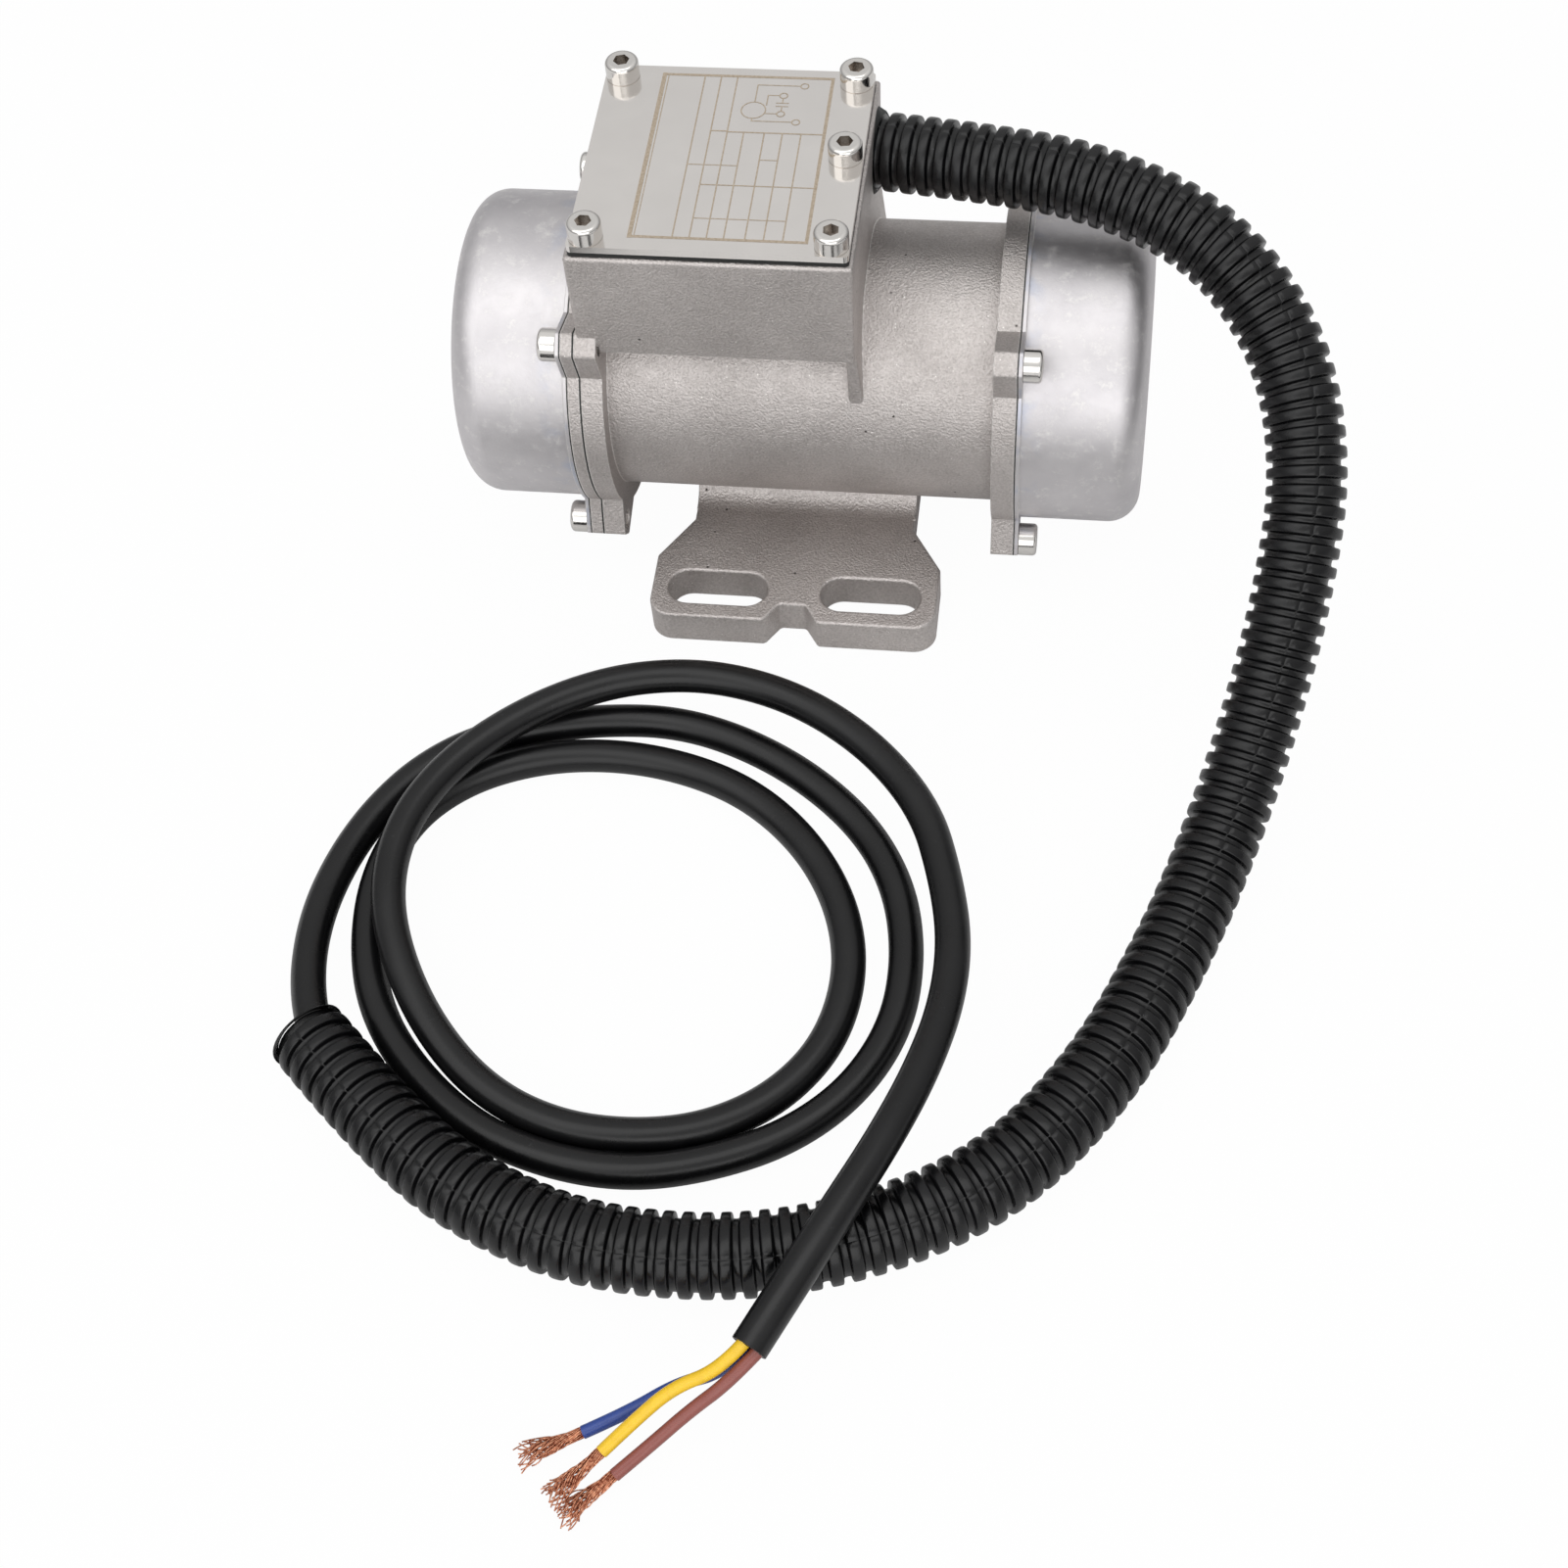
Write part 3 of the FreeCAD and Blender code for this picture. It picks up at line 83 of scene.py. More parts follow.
def put(tree, node, inputs):
    """Each input gets its value, or follows it where it is another node's socket."""
    for name, value in inputs.items():
        if isinstance(value, bpy.types.NodeSocket):
            tree.links.new(value, node.inputs[name])
        else:
            node.inputs[name].default_value = value


def add(tree, kind, inputs=None, **settings):
    """One node with these inputs, and these settings as its properties."""
    made = tree.nodes.new("ShaderNode" + kind)
    for name, value in settings.items():
        setattr(made, name, value)
    put(tree, made, inputs or {})
    return made


def blank(name):
    """A new material with a bare shader: it, its tree, the shader and coordinates in millimetres."""
    made = bpy.data.materials.new(name)
    made.use_nodes = True
    tree = made.node_tree
    tree.nodes.clear()
    shader = add(tree, "BsdfPrincipled")
    add(tree, "OutputMaterial", {"Surface": shader.outputs[0]})
    place = add(tree, "TexCoord")
    millimetres = add(tree, "VectorMath", {0: place.outputs["Object"], "Scale": 1000.0},
                      operation="SCALE")
    return made, tree, shader, millimetres.outputs[0]


def noise(tree, where, period, detail=2.0, roughness=0.5):
    """Noise whose features are about this many millimetres apart, from 0 to 1."""
    return add(tree, "TexNoise", {"Vector": where, "Scale": 1.0 / period, "Detail": detail,
                                  "Roughness": roughness}).outputs[0]


def ramp(tree, value, low, high, out_low=0.0, out_high=1.0):
    """The value mapped from one range to another, and held at its ends."""
    return add(tree, "MapRange", {"Value": value, "From Min": low, "From Max": high,
                                  "To Min": out_low, "To Max": out_high}).outputs[0]


def product(tree, first, second):
    return add(tree, "Math", {0: first, 1: second}, operation="MULTIPLY").outputs[0]


def mixed(tree, share, first, second):
    """Two colours mixed by a share: each is a hex colour or a socket."""
    colours = [srgb(value) if isinstance(value, str) else value for value in (first, second)]
    return add(tree, "Mix", {0: share, 6: colours[0], 7: colours[1]}, data_type="RGBA").outputs[2]


def bump(tree, height, distance, strength=1.0, normal=None):
    """A normal from a height that runs from 0 to 1, over this many millimetres."""
    inputs = {"Height": height, "Distance": distance * 0.001, "Strength": strength}
    if normal is not None:
        inputs["Normal"] = normal
    return add(tree, "Bump", inputs).outputs[0]


def edge_share(tree, radius):
    """A normal rounded at the edges by this many millimetres, and how close to an edge a place is."""
    soft = add(tree, "Bevel", {"Radius": radius * 0.001}, samples=6)
    face = add(tree, "NewGeometry")
    along = add(tree, "VectorMath", {0: soft.outputs[0], 1: face.outputs["Normal"]},
                operation="DOT_PRODUCT")
    return soft.outputs[0], ramp(tree, along.outputs["Value"], 0.995, 0.90)


# Cords: the conduit's and the cable's routes are the control points of the CAD tubes, in metres.
# The corrugated conduit is a mesh that follows its smooth line.
def metres(*points):
    return [Vector(point) * 0.001 for point in points]


EXIT = Vector((12.5, 17.9, 84.3)) * 0.001
CONDUIT_ROUTE = [EXIT] + metres(
    (38, 13.6, 85.6), (62, 7.6, 86.4), (85, -2.2, 82), (101, -18.5, 70.5), (107, -38, 56),
    (105.2, -57.9, 40), (100.6, -77.8, 24.5), (94.8, -97, 12.8), (86.8, -121.3, 8.1),
    (72.8, -154.5, 8.1), (52.2, -180.4, 8.1), (18.2, -196.3, 8.1), (-17.5, -198.5, 8.1),
    (-45, -189.6, 8.1), (-66.7, -173.6, 8.1), (-83.2, -157.9, 8.1))
ENTRY = (CONDUIT_ROUTE[1] - EXIT).normalized()


def spline_through(name, points, radius=0.0, resolution=16):
    """A smooth NURBS curve with these control points, round if it has a radius."""
    data = bpy.data.curves.new(name, "CURVE")
    data.dimensions = "3D"
    line = data.splines.new("NURBS")
    line.points.add(len(points) - 1)
    for point, place in zip(line.points, points):
        point.co = (*place, 1.0)
    line.order_u = 3
    line.use_endpoint_u = True
    line.resolution_u = resolution
    data.resolution_u = resolution
    data.bevel_depth = radius
    data.bevel_resolution = 8
    data.use_fill_caps = True
    made = bpy.data.objects.new(name, data)
    scene.collection.objects.link(made)
    return made


def line_points(curve):
    """The points of a curve's own line, read from it with no bevel."""
    bare = curve.copy()
    bare.data = curve.data.copy()
    bare.data.bevel_depth = 0.0
    scene.collection.objects.link(bare)
    bpy.context.view_layer.update()
    mesh = bpy.data.meshes.new_from_object(bare.evaluated_get(bpy.context.evaluated_depsgraph_get()))
    points = [vertex.co.copy() for vertex in mesh.vertices]
    bpy.data.objects.remove(bare)
    bpy.data.meshes.remove(mesh)
    return points


def length_of(points):
    return sum((after - before).length for before, after in zip(points, points[1:]))


def around(count):
    """This many angles, evenly spaced round one turn."""
    return [math.radians(360 // count * step) for step in range(count)]


def walked(points, stations):
    """The place and direction at each distance along a line."""
    found = []
    done, number = 0.0, 0
    for station in stations:
        while number < len(points) - 2:
            reach = (points[number + 1] - points[number]).length
            if done + reach >= station:
                break
            done += reach
            number += 1
        step = points[number + 1] - points[number]
        before = points[max(number - 1, 0)]
        after = points[min(number + 2, len(points) - 1)]
        place = points[number] + step.normalized() * (station - done)
        found.append((place, (after - before).normalized()))
    return found


# Every ring's angles are counted from here, upwards and to the motor's front, so that the conduit's
# mould seam starts from this side.
FACING = Vector((0, -0.57, 0.82))


def tube_mesh(name, points, stations, angles, radius_at, twist_at=lambda share: 0.0):
    """A tube along points, with a ring at each station, which is a distance in metres. radius_at
    takes a ring's number and an angle; twist_at turns each ring by its share of the way."""
    mesh = bmesh.new()
    rings = []
    for row, (centre, heading) in enumerate(walked(points, stations)):
        side = (FACING - heading * FACING.dot(heading)).normalized()
        across = heading.cross(side)
        ring = []
        for angle in angles:
            turned = angle + twist_at(row / len(stations))
            out = side * math.cos(turned) + across * math.sin(turned)
            ring.append(mesh.verts.new(centre + out * radius_at(row, angle)))
        rings.append(ring)
    for before, after in zip(rings, rings[1:]):
        for number in range(len(angles)):
            follow = (number + 1) % len(angles)
            mesh.faces.new((before[number], before[follow], after[follow], after[number]))
    for face in mesh.faces:
        face.smooth = True
    data = bpy.data.meshes.new(name)
    mesh.to_mesh(data)
    mesh.free()
    made = bpy.data.objects.new(name, data)
    scene.collection.objects.link(made)
    return made


# Black plastic of the conduit: satin, with faint patches, fine marks and a few specks of dust.
black_plastic, tree, shader, mm = blank("black polyamide, satin")
patches = noise(tree, mm, 9.0, 3.0)
fine = noise(tree, mm, 0.35, 2.0)
colour = mixed(tree, ramp(tree, patches, 0.35, 0.75), "060607", "0D0D0F")
specks = add(tree, "TexVoronoi", {"Vector": mm, "Scale": 0.45})
dust = ramp(tree, specks.outputs["Distance"], 0.05, 0.035)
chosen = ramp(tree, noise(tree, mm, 3.0), 0.62, 0.66)
put(tree, shader, {"Base Color": mixed(tree, product(tree, dust, chosen), colour, "5A5A5E"),
                   "Roughness": ramp(tree, patches, 0.3, 0.7, 0.20, 0.32),
                   "Specular IOR Level": 0.38,
                   "Normal": bump(tree, fine, 0.03)})

# One ridge and its groove: shares of the pitch, and radii in millimetres.
PITCH = 0.00378
RIDGE = [(0.00, 6.85), (0.05, 6.74), (0.17, 6.70), (0.29, 6.74), (0.34, 6.85), (0.365, 7.1),
         (0.385, 7.66), (0.42, 7.92), (0.48, 8.0), (0.67, 8.03), (0.86, 8.0), (0.92, 7.92),
         (0.955, 7.66), (0.975, 7.1)]
conduit_line = spline_through("conduit_line", CONDUIT_ROUTE, 0.0, 32)
line = line_points(conduit_line)
bpy.data.objects.remove(conduit_line)
conduit_length = length_of(line)
ridges = int(conduit_length / PITCH)
stations, radii = [], []
for number in range(ridges):
    for share, radius in RIDGE:
        stations.append((number + share) * PITCH)
        radii.append(radius * 0.001)

# The two mould seams: angles, the half width of their nick as an angle, its depth in metres, and
# the radius from which a ring counts as the top of a ridge.
SEAMS = (0.0, math.pi)
SEAM_HALF_WIDTH = 0.035
NICK = 0.0003
RIDGE_TOP = 0.0075
turn_angles = around(40)
for seam in SEAMS:
    turn_angles += [seam - SEAM_HALF_WIDTH, seam, seam + SEAM_HALF_WIDTH]
turn_angles = sorted(angle % (2 * math.pi) for angle in turn_angles)


def conduit_radius(row, angle):
    """The ridge's radius, with a narrow nick on each ridge where the two mould halves met."""
    on_seam = any(abs(angle - seam) < 0.001 for seam in SEAMS)
    return radii[row] - (NICK if on_seam and radii[row] > RIDGE_TOP else 0.0)


def seam_twist(share):
    """The seam starts on top of the conduit and winds slowly to its front."""
    return math.radians(-30 * (1 - share) ** 2 + 8 * share)


conduit = tube_mesh("corrugated_conduit", line, stations, turn_angles, conduit_radius, seam_twist)
# At its mouth, the cut rim and the first stretch of the corrugated inside are seen.
mouth_line = list(reversed(line))
LINING_STATIONS = [0.0003 + 0.0019 * step for step in range(10)]
LINING_RADII = (0.0066, 0.0066 - 0.0005)
RIM_STATIONS = [0.0, 0.0003, 0.0006]
RIM_RADII = (0.0064, 0.0079, 0.0079)
lining = tube_mesh("conduit_lining", mouth_line, LINING_STATIONS, around(30),
                   lambda row, angle: LINING_RADII[row % 2])
rim = tube_mesh("conduit_rim", mouth_line, RIM_STATIONS, turn_angles,
                lambda row, angle: RIM_RADII[row])
for piece in (conduit, lining, rim):
    piece.data.materials.append(black_plastic)
    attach(piece, "casing")
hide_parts("conduit")

# The sealing compound: a lumpy black bead smeared round the conduit where it enters the box, as
# distances along the conduit and radii in millimetres.
BEAD = [(0.6, 7.9), (0.9, 8.7), (1.6, 9.0), (2.3, 8.95), (2.9, 8.6), (3.4, 8.1), (3.7, 7.6)]


def bead_radius(row, angle):
    """The bead's radius with three sets of lumps, which are lower at its two ends."""
    lump = math.sin(3 * angle + 0.8 * row)
    lump += 0.6 * math.sin(7 * angle - 1.3 * row)
    lump += 0.4 * math.sin(13 * angle)
    return (BEAD[row][1] + 0.2 * lump * (0.4 if row in (0, len(BEAD) - 1) else 1.0)) * 0.001


bead = tube_mesh("sealing_bead", line, [start * 0.001 for start, radius in BEAD], around(72),
                 bead_radius)

# The cable: one cord from inside the box, through the conduit, round its loose coil and over the
# conduit to its cut end. Its sheath is smooth, black and slightly glossy.
CABLE_ROUTE = [EXIT - ENTRY * 0.009] + CONDUIT_ROUTE[1:-2] + metres(
    (-66.7, -173.6, 8.1), (-80.2, -160.6, 7.9), (-86.4, -146.5, 6.4), (-88.7, -131, 4.8),
    (-87.3, -116.5, 3.9), (-82.7, -103, 3.9), (-75.2, -91, 3.9), (-64.7, -82.2, 3.9),
    (-52, -77.2, 3.7), (-37.5, -74, 3.6), (-22, -73.3, 3.6), (-6.5, -77.5, 3.6),
    (8.8, -85.9, 3.6), (22, -97.8, 3.6), (30.2, -112, 3.6), (33.4, -128, 3.6),
    (32.4, -144, 3.6), (25.4, -158.8, 3.6), (13.9, -169.8, 3.6), (-0.4, -176.5, 3.6),
    (-15, -180, 3.6), (-30.5, -179, 3.6), (-46.4, -173.9, 3.6), (-61, -163, 3.6),
    (-72, -149.2, 3.6), (-77.4, -133.4, 3.6), (-78.6, -117.5, 3.6), (-74.8, -102.8, 3.6),
    (-64.8, -91.8, 3.7), (-50.5, -85.2, 3.7), (-34.5, -83, 3.7), (-18, -85, 3.6),
    (-3, -91, 3.6), (10, -102.3, 3.6), (18.9, -116.8, 3.6), (22.4, -132.5, 3.6),
    (19.8, -148.6, 3.6), (11.2, -161.2, 3.6), (-1.5, -169.4, 3.6), (-16, -172.4, 3.6),
    (-31.5, -171.6, 3.8), (-46.4, -165.5, 4.4), (-58.9, -154.3, 6.0), (-68.2, -140.5, 8.6),
    (-73.8, -125.6, 10.8), (-73.6, -110, 11.8), (-67.8, -96, 12.0), (-57.8, -84, 12.0),
    (-45, -74.2, 12.0), (-30.2, -68, 12.0), (-13.2, -66.5, 12.0), (5, -71.3, 12.0),
    (21.5, -82, 11.8), (34.1, -96.8, 11.4), (39.7, -113.5, 11.6), (42.8, -129, 12.6),
    (42.3, -145, 14.6), (38.7, -161.5, 17.6), (33.2, -177.5, 20.2), (25.8, -193.5, 20.8),
    (19.8, -205.5, 19.2), (13.5, -217.5, 16.6))
black_sheath, tree, shader, mm = blank("black rubber sheath, smooth")
patches = noise(tree, mm, 14.0, 3.0)
fine = noise(tree, mm, 0.6, 2.0)
colour = mixed(tree, ramp(tree, patches, 0.35, 0.75), "0A0A0B", "121213")
scuffs = ramp(tree, noise(tree, mm, 2.2, 4.0, 0.7), 0.66, 0.74)
put(tree, shader, {"Base Color": mixed(tree, scuffs, colour, "232325"),
                   "Roughness": ramp(tree, patches, 0.3, 0.7, 0.24, 0.36),
                   "Specular IOR Level": 0.38,
                   "Normal": bump(tree, fine, 0.02)})
CABLE_RADIUS = 0.00355
cable = spline_through("supply_cable", CABLE_ROUTE, CABLE_RADIUS, 10)
cable.data.materials.append(black_sheath)
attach(cable, "casing")
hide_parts("cable", "cable_coil", "cable_tail")
cable_line = line_points(cable)
# The cut face of the sheath: a flat grey ring, a hair past the cable's end.
CUT_RADII = (0.00345, 0.00285)
CUT_GAP = 0.00006
cut_heading = (cable_line[-1] - cable_line[-3]).normalized()
cut_line = [cable_line[-1] + cut_heading * CUT_GAP, cable_line[-3]]
cut_edge = tube_mesh("sheath_cut_edge", cut_line, [0.0, 0.0], around(36),
                     lambda row, angle: CUT_RADII[row])
cut_grey, tree, shader, mm = blank("black rubber, cut face")
put(tree, shader, {"Base Color": mixed(tree, noise(tree, mm, 0.5, 3.0), "3A3A3C", "6A6A6C"),
                   "Roughness": 0.6})
cut_edge.data.materials.append(cut_grey)
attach(cut_edge, "casing")

# Three cores leave the cut end: blue passes under yellow, and brown lies in front.
CORES = {
    "blue_core": ("2C4690", ((13.1, -216.7, 15.25), (8.9, -220.1, 10.6), (0.5, -221.8, 7.4),
                             (-7.9, -226.9, 4.6), (-15.9, -230.8, 2.8))),
    "earth_core": ("EBC024", ((12.7, -217, 17.75), (8.6, -221.5, 15), (0.5, -224.1, 11.6),
                              (-6, -229.4, 8), (-11.5, -235, 5.6))),
    "brown_core": ("8A4C44", ((15.1, -217.95, 16.35), (10.4, -223.1, 13.8), (3.6, -227.2, 9),
                              (-2.9, -232.8, 5.6), (-8.9, -238.2, 3.4))),
}
CORE_RADIUS = 0.00125
core_pieces = {}
for name, (code, points) in CORES.items():
    plastic, tree, shader, mm = blank(name.replace("_", " ") + " PVC, glossy")
    grime = ramp(tree, noise(tree, mm, 2.5, 3.0), 0.5, 0.8, 0.0, 0.12)
    put(tree, shader, {"Base Color": mixed(tree, grime, code, "101018"), "Roughness": 0.32,
                       "Normal": bump(tree, noise(tree, mm, 0.8), 0.03)})
    core = spline_through(name + "_wire", metres(*points), CORE_RADIUS, 12)
    core.data.materials.append(plastic)
    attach(core, "casing")
    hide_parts(name)
    core_pieces[name] = core
    length_of(line_points(core))

# Bared copper strands: each core's bundle is twisted, then splays out at its tip.
copper, tree, shader, mm = blank("copper wire, bare")
# Painted highlight: the copper's colour runs in patches of noise from dark red-brown to a pale glint.
glint = ramp(tree, noise(tree, mm, 0.6, 2.0), 0.35, 0.65)
put(tree, shader, {"Base Color": mixed(tree, glint, "8E4A34", "E3A684"), "Metallic": 0.9,
                   "Roughness": 0.34})
STRANDS, STRAND_STEPS = 36, 8
STRAND_RADIUS, STRAND_LENGTH = 0.00013, 0.0122
STRAND_START = 0.0006
BUNDLE_RADIUS, SPLAY = 0.0009, 0.0021
DRIFT = 0.00075
SWIRL = 3.6
GOLDEN_ANGLE = 2.399963
strands = bpy.data.curves.new("copper_strands", "CURVE")
strands.dimensions = "3D"
strands.bevel_depth = STRAND_RADIUS
strands.bevel_resolution = 2
strands.resolution_u = 4
strands.use_fill_caps = True
for name, core in core_pieces.items():
    tail = line_points(core)
    start = tail[-1]
    heading = ((tail[-1] - tail[-4]).normalized() + Vector((0, 0, 0.12))).normalized()
    side = heading.cross(Vector((0, 0, 1))).normalized()
    top = side.cross(heading)
    for number in range(STRANDS):
        angle = GOLDEN_ANGLE * number
        spread = math.sqrt((number + 0.5) / STRANDS)
        reach = STRAND_LENGTH + random.uniform(-0.0024, 0.0012)
        bend = random.uniform(-0.35, 0.35)
        strand = strands.splines.new("NURBS")
        strand.points.add(STRAND_STEPS)
        for step, point in enumerate(strand.points):
            share = step / STRAND_STEPS
            swirl = angle + SWIRL * share + bend * share * share
            wide = BUNDLE_RADIUS * spread + SPLAY * spread * max(0.0, share - 0.3) ** 1.2
            drift = DRIFT * random.uniform(-1, 1) * share ** 1.3
            place = (start + heading * (reach * share - STRAND_START)
                     + side * (math.cos(swirl) * wide * 1.25 + drift)
                     + top * (math.sin(swirl) * wide * 0.75))
            place.z = max(place.z, 0.0004)
            point.co = (*place, 1.0)
        strand.order_u = 4
        strand.use_endpoint_u = True
copper_strands = bpy.data.objects.new("copper_strands", strands)
scene.collection.objects.link(copper_strands)
copper_strands.data.materials.append(copper)
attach(copper_strands, "casing")
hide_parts("bare_strands")

# Investment-cast stainless steel, bead-blasted: warm grey with a fine grain, a few dark pits and
# bright specks, and edges that are softened as a casting's are and lightened as a painted highlight
# that also stands for rubbed wear.
cast, tree, shader, mm = blank("cast stainless steel, bead-blasted")
soft, edge = edge_share(tree, 0.5)
clouds = noise(tree, mm, 16.0, 4.0, 0.55)
grain = noise(tree, mm, 0.5, 2.0, 0.6)
mottle = noise(tree, mm, 2.6, 3.0, 0.6)
colour = mixed(tree, ramp(tree, clouds, 0.3, 0.7), "B9B3B0", "CAC4C1")
colour = mixed(tree, ramp(tree, grain, 0.5, 0.75, 0.0, 0.5), colour, "DCD7D4")
colour = mixed(tree, ramp(tree, grain, 0.5, 0.3, 0.0, 0.35), colour, "98938F")
cells = add(tree, "TexVoronoi", {"Vector": mm, "Scale": 0.24})
chosen = ramp(tree, noise(tree, mm, 5.0, 1.0), 0.58, 0.60)
pit = product(tree, ramp(tree, cells.outputs["Distance"], 0.085, 0.045), chosen)
stars = add(tree, "TexVoronoi", {"Vector": mm, "Scale": 0.9})
chosen = ramp(tree, noise(tree, mm, 1.7, 1.0), 0.56, 0.60)
star = product(tree, ramp(tree, stars.outputs["Distance"], 0.16, 0.08), chosen)
colour = mixed(tree, star, colour, "EFECE8")
colour = mixed(tree, pit, colour, "4E4A46")
# Painted highlight: close to the edges the colour is lightened to near-white, partly for rubbed wear.
wear_and_edge_highlight = product(tree, edge, ramp(tree, noise(tree, mm, 0.7, 2.0), 0.35, 0.6, 0.5, 1.0))
colour = mixed(tree, wear_and_edge_highlight, colour, "F4F1ED")
normal = bump(tree, grain, 0.24, 0.9, soft)
normal = bump(tree, ramp(tree, mottle, 0.2, 0.8), 0.08, 0.6, normal)
normal = bump(tree, ramp(tree, pit, 0.0, 1.0, 1.0, 0.0), 0.15, 0.8, normal)
put(tree, shader, {"Base Color": colour, "Metallic": 0.92,
                   "Roughness": ramp(tree, mottle, 0.3, 0.7, 0.44, 0.54), "Normal": normal})

# Drawn covers: smoother stainless sheet with a violet-grey tint, cloudy handling marks, bluish heat
# tint close to the flange and a painted highlight along the edges.
drawn, tree, shader, mm = blank("stainless sheet, deep-drawn")
soft, edge = edge_share(tree, 0.3)
clouds = noise(tree, mm, 11.0, 5.0, 0.6)
marks = noise(tree, mm, 3.2, 5.0, 0.78)
colour = mixed(tree, ramp(tree, clouds, 0.3, 0.7), "CBC8CA", "D8D5D6")
colour = mixed(tree, ramp(tree, marks, 0.54, 0.70, 0.0, 0.8), colour, "E9E7E5")
along = add(tree, "SeparateXYZ", {0: mm}).outputs["X"]
from_middle = add(tree, "Math", {0: along}, operation="ABSOLUTE").outputs[0]
wisps = ramp(tree, noise(tree, mm, 7.0, 3.0), 0.5, 0.64, 0.0, 0.4)
heat = product(tree, ramp(tree, from_middle, 53.0, 48.5), wisps)
colour = mixed(tree, heat, colour, "A6B2CC")
# Painted highlight: the colour is lightened near the edges, most where the handling marks are strong.
colour = mixed(tree, product(tree, edge, ramp(tree, marks, 0.4, 0.6, 0.3, 1.0)), colour, "F2EFEA")
put(tree, shader, {"Base Color": colour, "Metallic": 0.97,
                   "Roughness": ramp(tree, marks, 0.45, 0.75, 0.46, 0.60),
                   "Normal": bump(tree, noise(tree, mm, 0.7, 3.0), 0.05, 0.6, soft)})

# Lid: bright satin plate that mirrors its screw heads, with a barely visible rolled grain.
satin, tree, shader, mm = blank("stainless plate, satin")
stretch = add(tree, "VectorMath", {0: mm, 1: (0.06, 1.0, 1.0)}, operation="MULTIPLY").outputs[0]
rolled = noise(tree, stretch, 0.30, 3.0)
clouds = noise(tree, mm, 9.0, 3.0)
put(tree, shader, {"Base Color": mixed(tree, clouds, "E0DCD8", "EBE7E3"), "Metallic": 1.0,
                   "Roughness": ramp(tree, rolled, 0.3, 0.7, 0.10, 0.15),
                   "Normal": bump(tree, rolled, 0.01, 0.25)})

# Screws and other bright turned parts: polished steel, with painted shade down in the sockets and
# other hollows, where ambient occlusion darkens the colour to a brown-grey.
polished, tree, shader, mm = blank("stainless steel, polished")
shade = add(tree, "AmbientOcclusion", {"Distance": 0.004}, samples=8, only_local=True)
painted_socket_shade = ramp(tree, shade.outputs["AO"], 0.05, 0.40)
put(tree, shader, {"Base Color": mixed(tree, painted_socket_shade, "7A6E64", "DEDBD7"), "Metallic": 1.0,
                   "Roughness": ramp(tree, noise(tree, mm, 0.8, 2.0), 0.3, 0.7, 0.10, 0.18)})

# Black rubber of the seals, the packings, the bush and the sealing compound.
rubber, tree, shader, mm = blank("black rubber, matt")
put(tree, shader, {"Base Color": mixed(tree, noise(tree, mm, 1.2, 3.0), "0D0E0E", "1D1F1E"),
                   "Roughness": 0.55,
                   "Normal": bump(tree, noise(tree, mm, 0.7, 3.0), 0.15, 0.6)})
bead.data.materials.append(rubber)
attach(bead, "casing")
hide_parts("conduit_sealant")


def simple(name, light, dark, metallic, roughness, period):
    """An inner part's finish: two tones of one colour in a pattern of this period."""
    made, tree, shader, mm = blank(name)
    put(tree, shader, {"Base Color": mixed(tree, noise(tree, mm, period, 3.0), dark, light),
                       "Metallic": metallic, "Roughness": roughness,
                       "Normal": bump(tree, noise(tree, mm, period / 4, 2.0), 0.03, 0.5)})
    return made


FINISHES = {
    "cast_stainless": cast,
    "satin_stainless": satin,
    "drawn_stainless": drawn,
    "rubber": rubber,
    "screw_steel": polished,
    "bearing_steel": simple("bearing steel, ground", "C9CACC", "A9AAAC", 1.0, 0.16, 3.0),
    "cage_brass": simple("brass, turned", "C9A460", "A98446", 1.0, 0.3, 2.0),
    "spring_steel": simple("spring steel, blued", "55575E", "3A3C42", 1.0, 0.35, 3.0),
    "laminated_steel": simple("electrical steel, stacked", "7A7B7E", "58595C", 0.9, 0.45, 1.0),
    "copper": simple("copper winding, varnished", "C46A38", "8E4420", 0.8, 0.3, 1.2),
    "rotor_aluminium": simple("aluminium, cast", "C9CACC", "ABACAE", 0.95, 0.4, 2.0),
    "turned_steel": simple("steel, turned", "A9AAAC", "88898B", 1.0, 0.28, 2.0),
    "weight_steel": simple("steel plate, oiled", "77787A", "56575A", 1.0, 0.4, 4.0),
    "capacitor_plastic": simple("black capacitor case, moulded", "2A2B2D", "1C1D1F", 0.0, 0.4, 4.0),
    "terminal_plastic": simple("cream terminal block, moulded", "E4E0D2", "D2CDBE", 0.0, 0.35, 5.0),
    "motor_lead_sleeve": simple("white lead sleeve, braided", "DADAD4", "BDBDB6", 0.0, 0.6, 0.6),
    "cable_sheath": black_sheath,
    "conduit_plastic": black_plastic,
}
for row in frame["record"]["subparts"]:
    node = frame["nodes"][row["node"]]
    if row["material_slot"] in FINISHES:
        node.data.materials.clear()
        node.data.materials.append(FINISHES[row["material_slot"]])

# Etched frame, empty table and plain wiring diagram on the lid: tan lines, a hair above the plate.
lid_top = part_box("terminal_lid")[1].z
etched, tree, shader, mm = blank("etched lines, tan")
wear_and_edge_highlight = ramp(tree, noise(tree, mm, 0.5, 3.0), 0.35, 0.65)
put(tree, shader, {"Base Color": mixed(tree, wear_and_edge_highlight, "BFB19F", "A99A86"), "Metallic": 0.5,
                   "Roughness": 0.5})
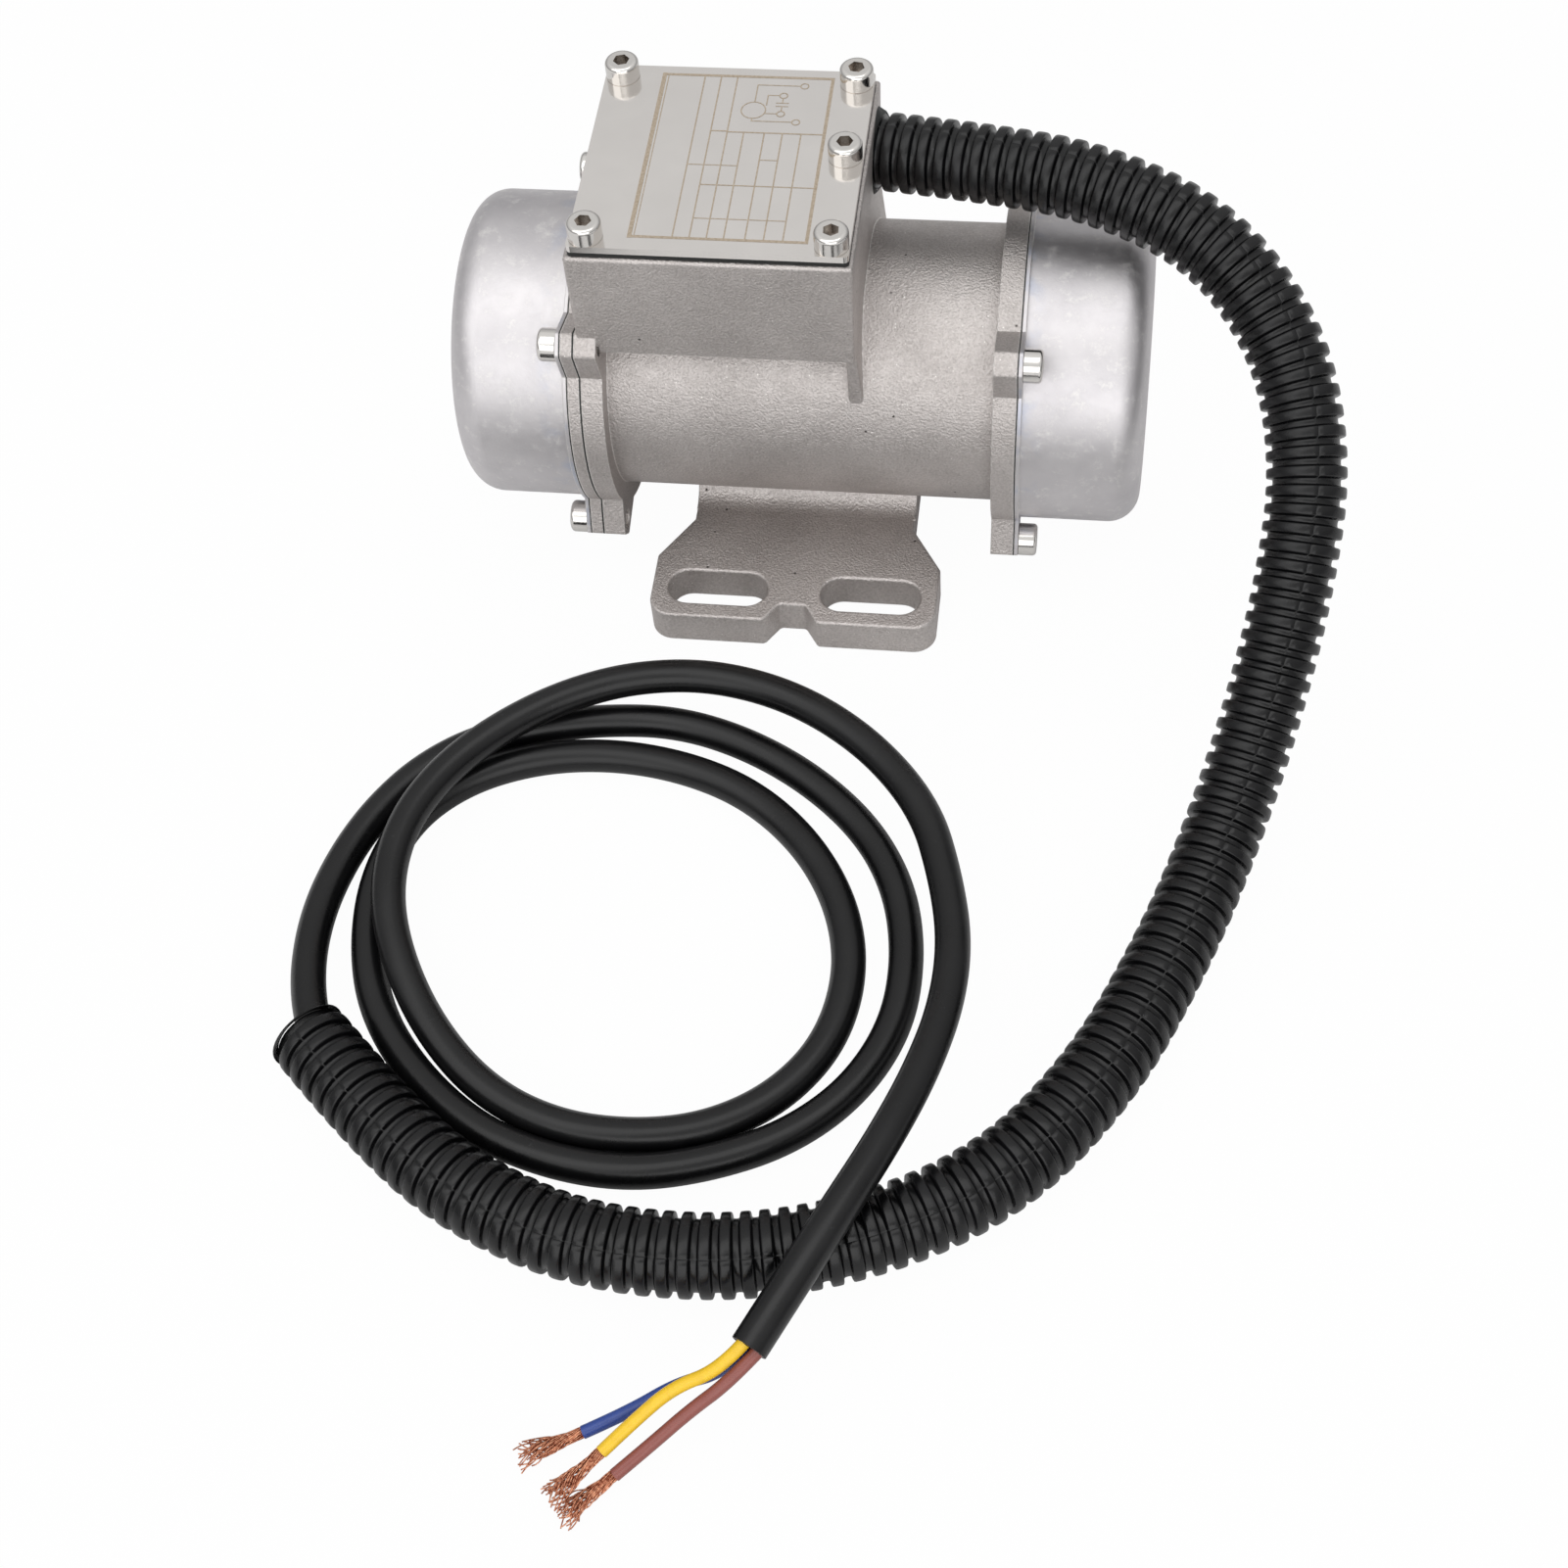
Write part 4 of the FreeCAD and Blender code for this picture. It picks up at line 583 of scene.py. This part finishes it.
# Strokes as both ends and a width, rings as a centre and a radius, all in millimetres.
LINES = [
    (-29.5, -23.6, -29.5, 24.8, 0.9), (-29.5, 24.8, 5.6, 24.8, 0.7), (5.6, 24.8, 5.6, -23.6, 0.7),
    (5.6, -23.6, -29.5, -23.6, 0.7), (-28.6, -23, -28.6, 24.2, 0.22), (-21, -23.6, -21, 24.8, 0.3),
    (-17.6, -23.6, -17.6, 24.8, 0.3), (-14.2, -23.6, -14.2, 24.8, 0.3), (-10.8, -23.6, -10.8, 7.7, 0.3),
    (-6.6, -23.6, -6.6, 7.7, 0.3), (-2.9, -23.6, -2.9, 7.7, 0.3), (0.9, -23.6, 0.9, 7.7, 0.3),
    (-14.2, 7.7, 5.6, 7.7, 0.35), (-21, -2.3, -10.8, -2.3, 0.25), (-17.6, -8.1, 5.6, -8.1, 0.3),
    (-17.6, -17.8, 0.9, -17.8, 0.25), (-17.6, 7.9, -14.2, 7.9, 0.35), (-6.6, -0.4, -2.9, -0.4, 0.25),
    (-9.7, 17, -9.7, 22.3, 0.25), (-9.7, 22.3, -0.8, 22.3, 0.25), (-7.2, 16.2, -7.2, 19.2, 0.25),
    (-7.2, 19.2, -4.8, 19.2, 0.25), (-7.2, 13.6, -4.8, 13.6, 0.25), (-9.7, 12, -9.7, 11.2, 0.25),
    (-9.7, 11.2, -1.4, 11.2, 0.25), (-4, 18.4, -4, 16.9, 0.25), (-4, 15.9, -4, 14.4, 0.25),
    (-5.2, 16.9, -2.8, 16.9, 0.25), (-5.2, 15.9, -2.8, 15.9, 0.25),
]
RINGS = [(-9.7, 14.5, 2.5), (0, 22.3, 0.8), (-4, 19.2, 0.8), (-0.6, 11.2, 0.8), (-4.0, 13.6, 0.8)]
RING_STEPS = 24
RING_HALF_WIDTH = 0.13
ETCHING_LIFT, STROKE_LIFT = 0.00002, 0.0000001
mesh = bmesh.new()


def flat_face(corners):
    """One etched stroke, a hair above the last one, so that crossing strokes never share a plane."""
    lifted = lid_top + ETCHING_LIFT + len(mesh.faces) * STROKE_LIFT
    mesh.faces.new([mesh.verts.new((x * 0.001, y * 0.001, lifted)) for x, y in corners])


for x0, y0, x1, y1, width in LINES:
    first, last = Vector((x0, y0)), Vector((x1, y1))
    step = (last - first).normalized() * width / 2
    wide = Vector((-step.y, step.x))
    flat_face((first - step - wide, last + step - wide, last + step + wide, first - step + wide))
for x, y, radius in RINGS:
    for number in range(RING_STEPS):
        corners = []
        for share, side in ((0, -1), (1, -1), (1, 1), (0, 1)):
            angle = math.radians(360 // RING_STEPS * (number + share))
            out = radius + side * RING_HALF_WIDTH
            corners.append((x + out * math.cos(angle), y + out * math.sin(angle)))
        flat_face(corners)
data = bpy.data.meshes.new("lid_etching")
mesh.to_mesh(data)
mesh.free()
etching = bpy.data.objects.new("lid_etching", data)
scene.collection.objects.link(etching)
etching.data.materials.append(etched)
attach(etching, "casing")

# Floor and surroundings: a white sweep that the camera sees as white, and soft studio light.
FLOOR_HEIGHT = -0.0002
floor_mesh = bpy.data.meshes.new("floor")
floor_corners = [(x, y, FLOOR_HEIGHT) for x, y in ((-3, -3), (3, -3), (3, 3), (-3, 3))]
floor_mesh.from_pydata(floor_corners, [], [(0, 1, 2, 3)])
floor = bpy.data.objects.new("floor", floor_mesh)
scene.collection.objects.link(floor)
paper = bpy.data.materials.new("white paper sweep")
paper.use_nodes = True
tree = paper.node_tree
tree.nodes.clear()
seen = add(tree, "LightPath").outputs["Is Camera Ray"]
matt = add(tree, "BsdfDiffuse", {"Color": (0.72, 0.72, 0.72, 1.0)})
glow = add(tree, "Emission", {"Color": (1, 1, 1, 1), "Strength": 1.0})
tint = add(tree, "Math", {0: seen, 1: 0.97}, operation="MULTIPLY")
both = add(tree, "MixShader", {0: tint.outputs[0], 1: matt.outputs[0], 2: glow.outputs[0]})
add(tree, "OutputMaterial", {"Surface": both.outputs[0]})
floor.data.materials.append(paper)

world = bpy.data.worlds.new("studio")
scene.world = world
world.use_nodes = True
tree = world.node_tree
tree.nodes.clear()
seen = add(tree, "LightPath").outputs["Is Camera Ray"]
direction = add(tree, "TexCoord").outputs["Generated"]
height = add(tree, "SeparateXYZ", {0: direction}).outputs["Z"]
grey = mixed(tree, ramp(tree, height, -0.05, 0.85), "8A8A8C", "F4F4F4")
dim = add(tree, "Background", {"Color": grey, "Strength": 0.95})
white = add(tree, "Background", {"Color": (1, 1, 1, 1), "Strength": 1.0})
both = add(tree, "MixShader", {0: seen, 1: dim.outputs[0], 2: white.outputs[0]})
add(tree, "OutputWorld", {"Surface": both.outputs[0]})


def softbox(name, place, target, width, depth, power):
    """A rectangular light at a place, turned to a target, with its size in metres and its watts."""
    data = bpy.data.lights.new(name, "AREA")
    data.shape = "RECTANGLE"
    data.size = width
    data.size_y = depth
    data.energy = power
    made = bpy.data.objects.new(name, data)
    scene.collection.objects.link(made)
    made.location = place
    made.rotation_euler = (Vector(target) - Vector(place)).to_track_quat("-Z", "Y").to_euler()


softbox("key", (-0.9, -0.8, 1.3), (0, -0.05, 0.04), 1.3, 1.3, 4.5)
softbox("top", (0.05, -0.15, 1.6), (0, 0, 0.04), 1.5, 0.9, 4.6)
softbox("front", (0.15, -1.5, 0.62), (0, 0, 0.04), 2.0, 1.1, 10.0)
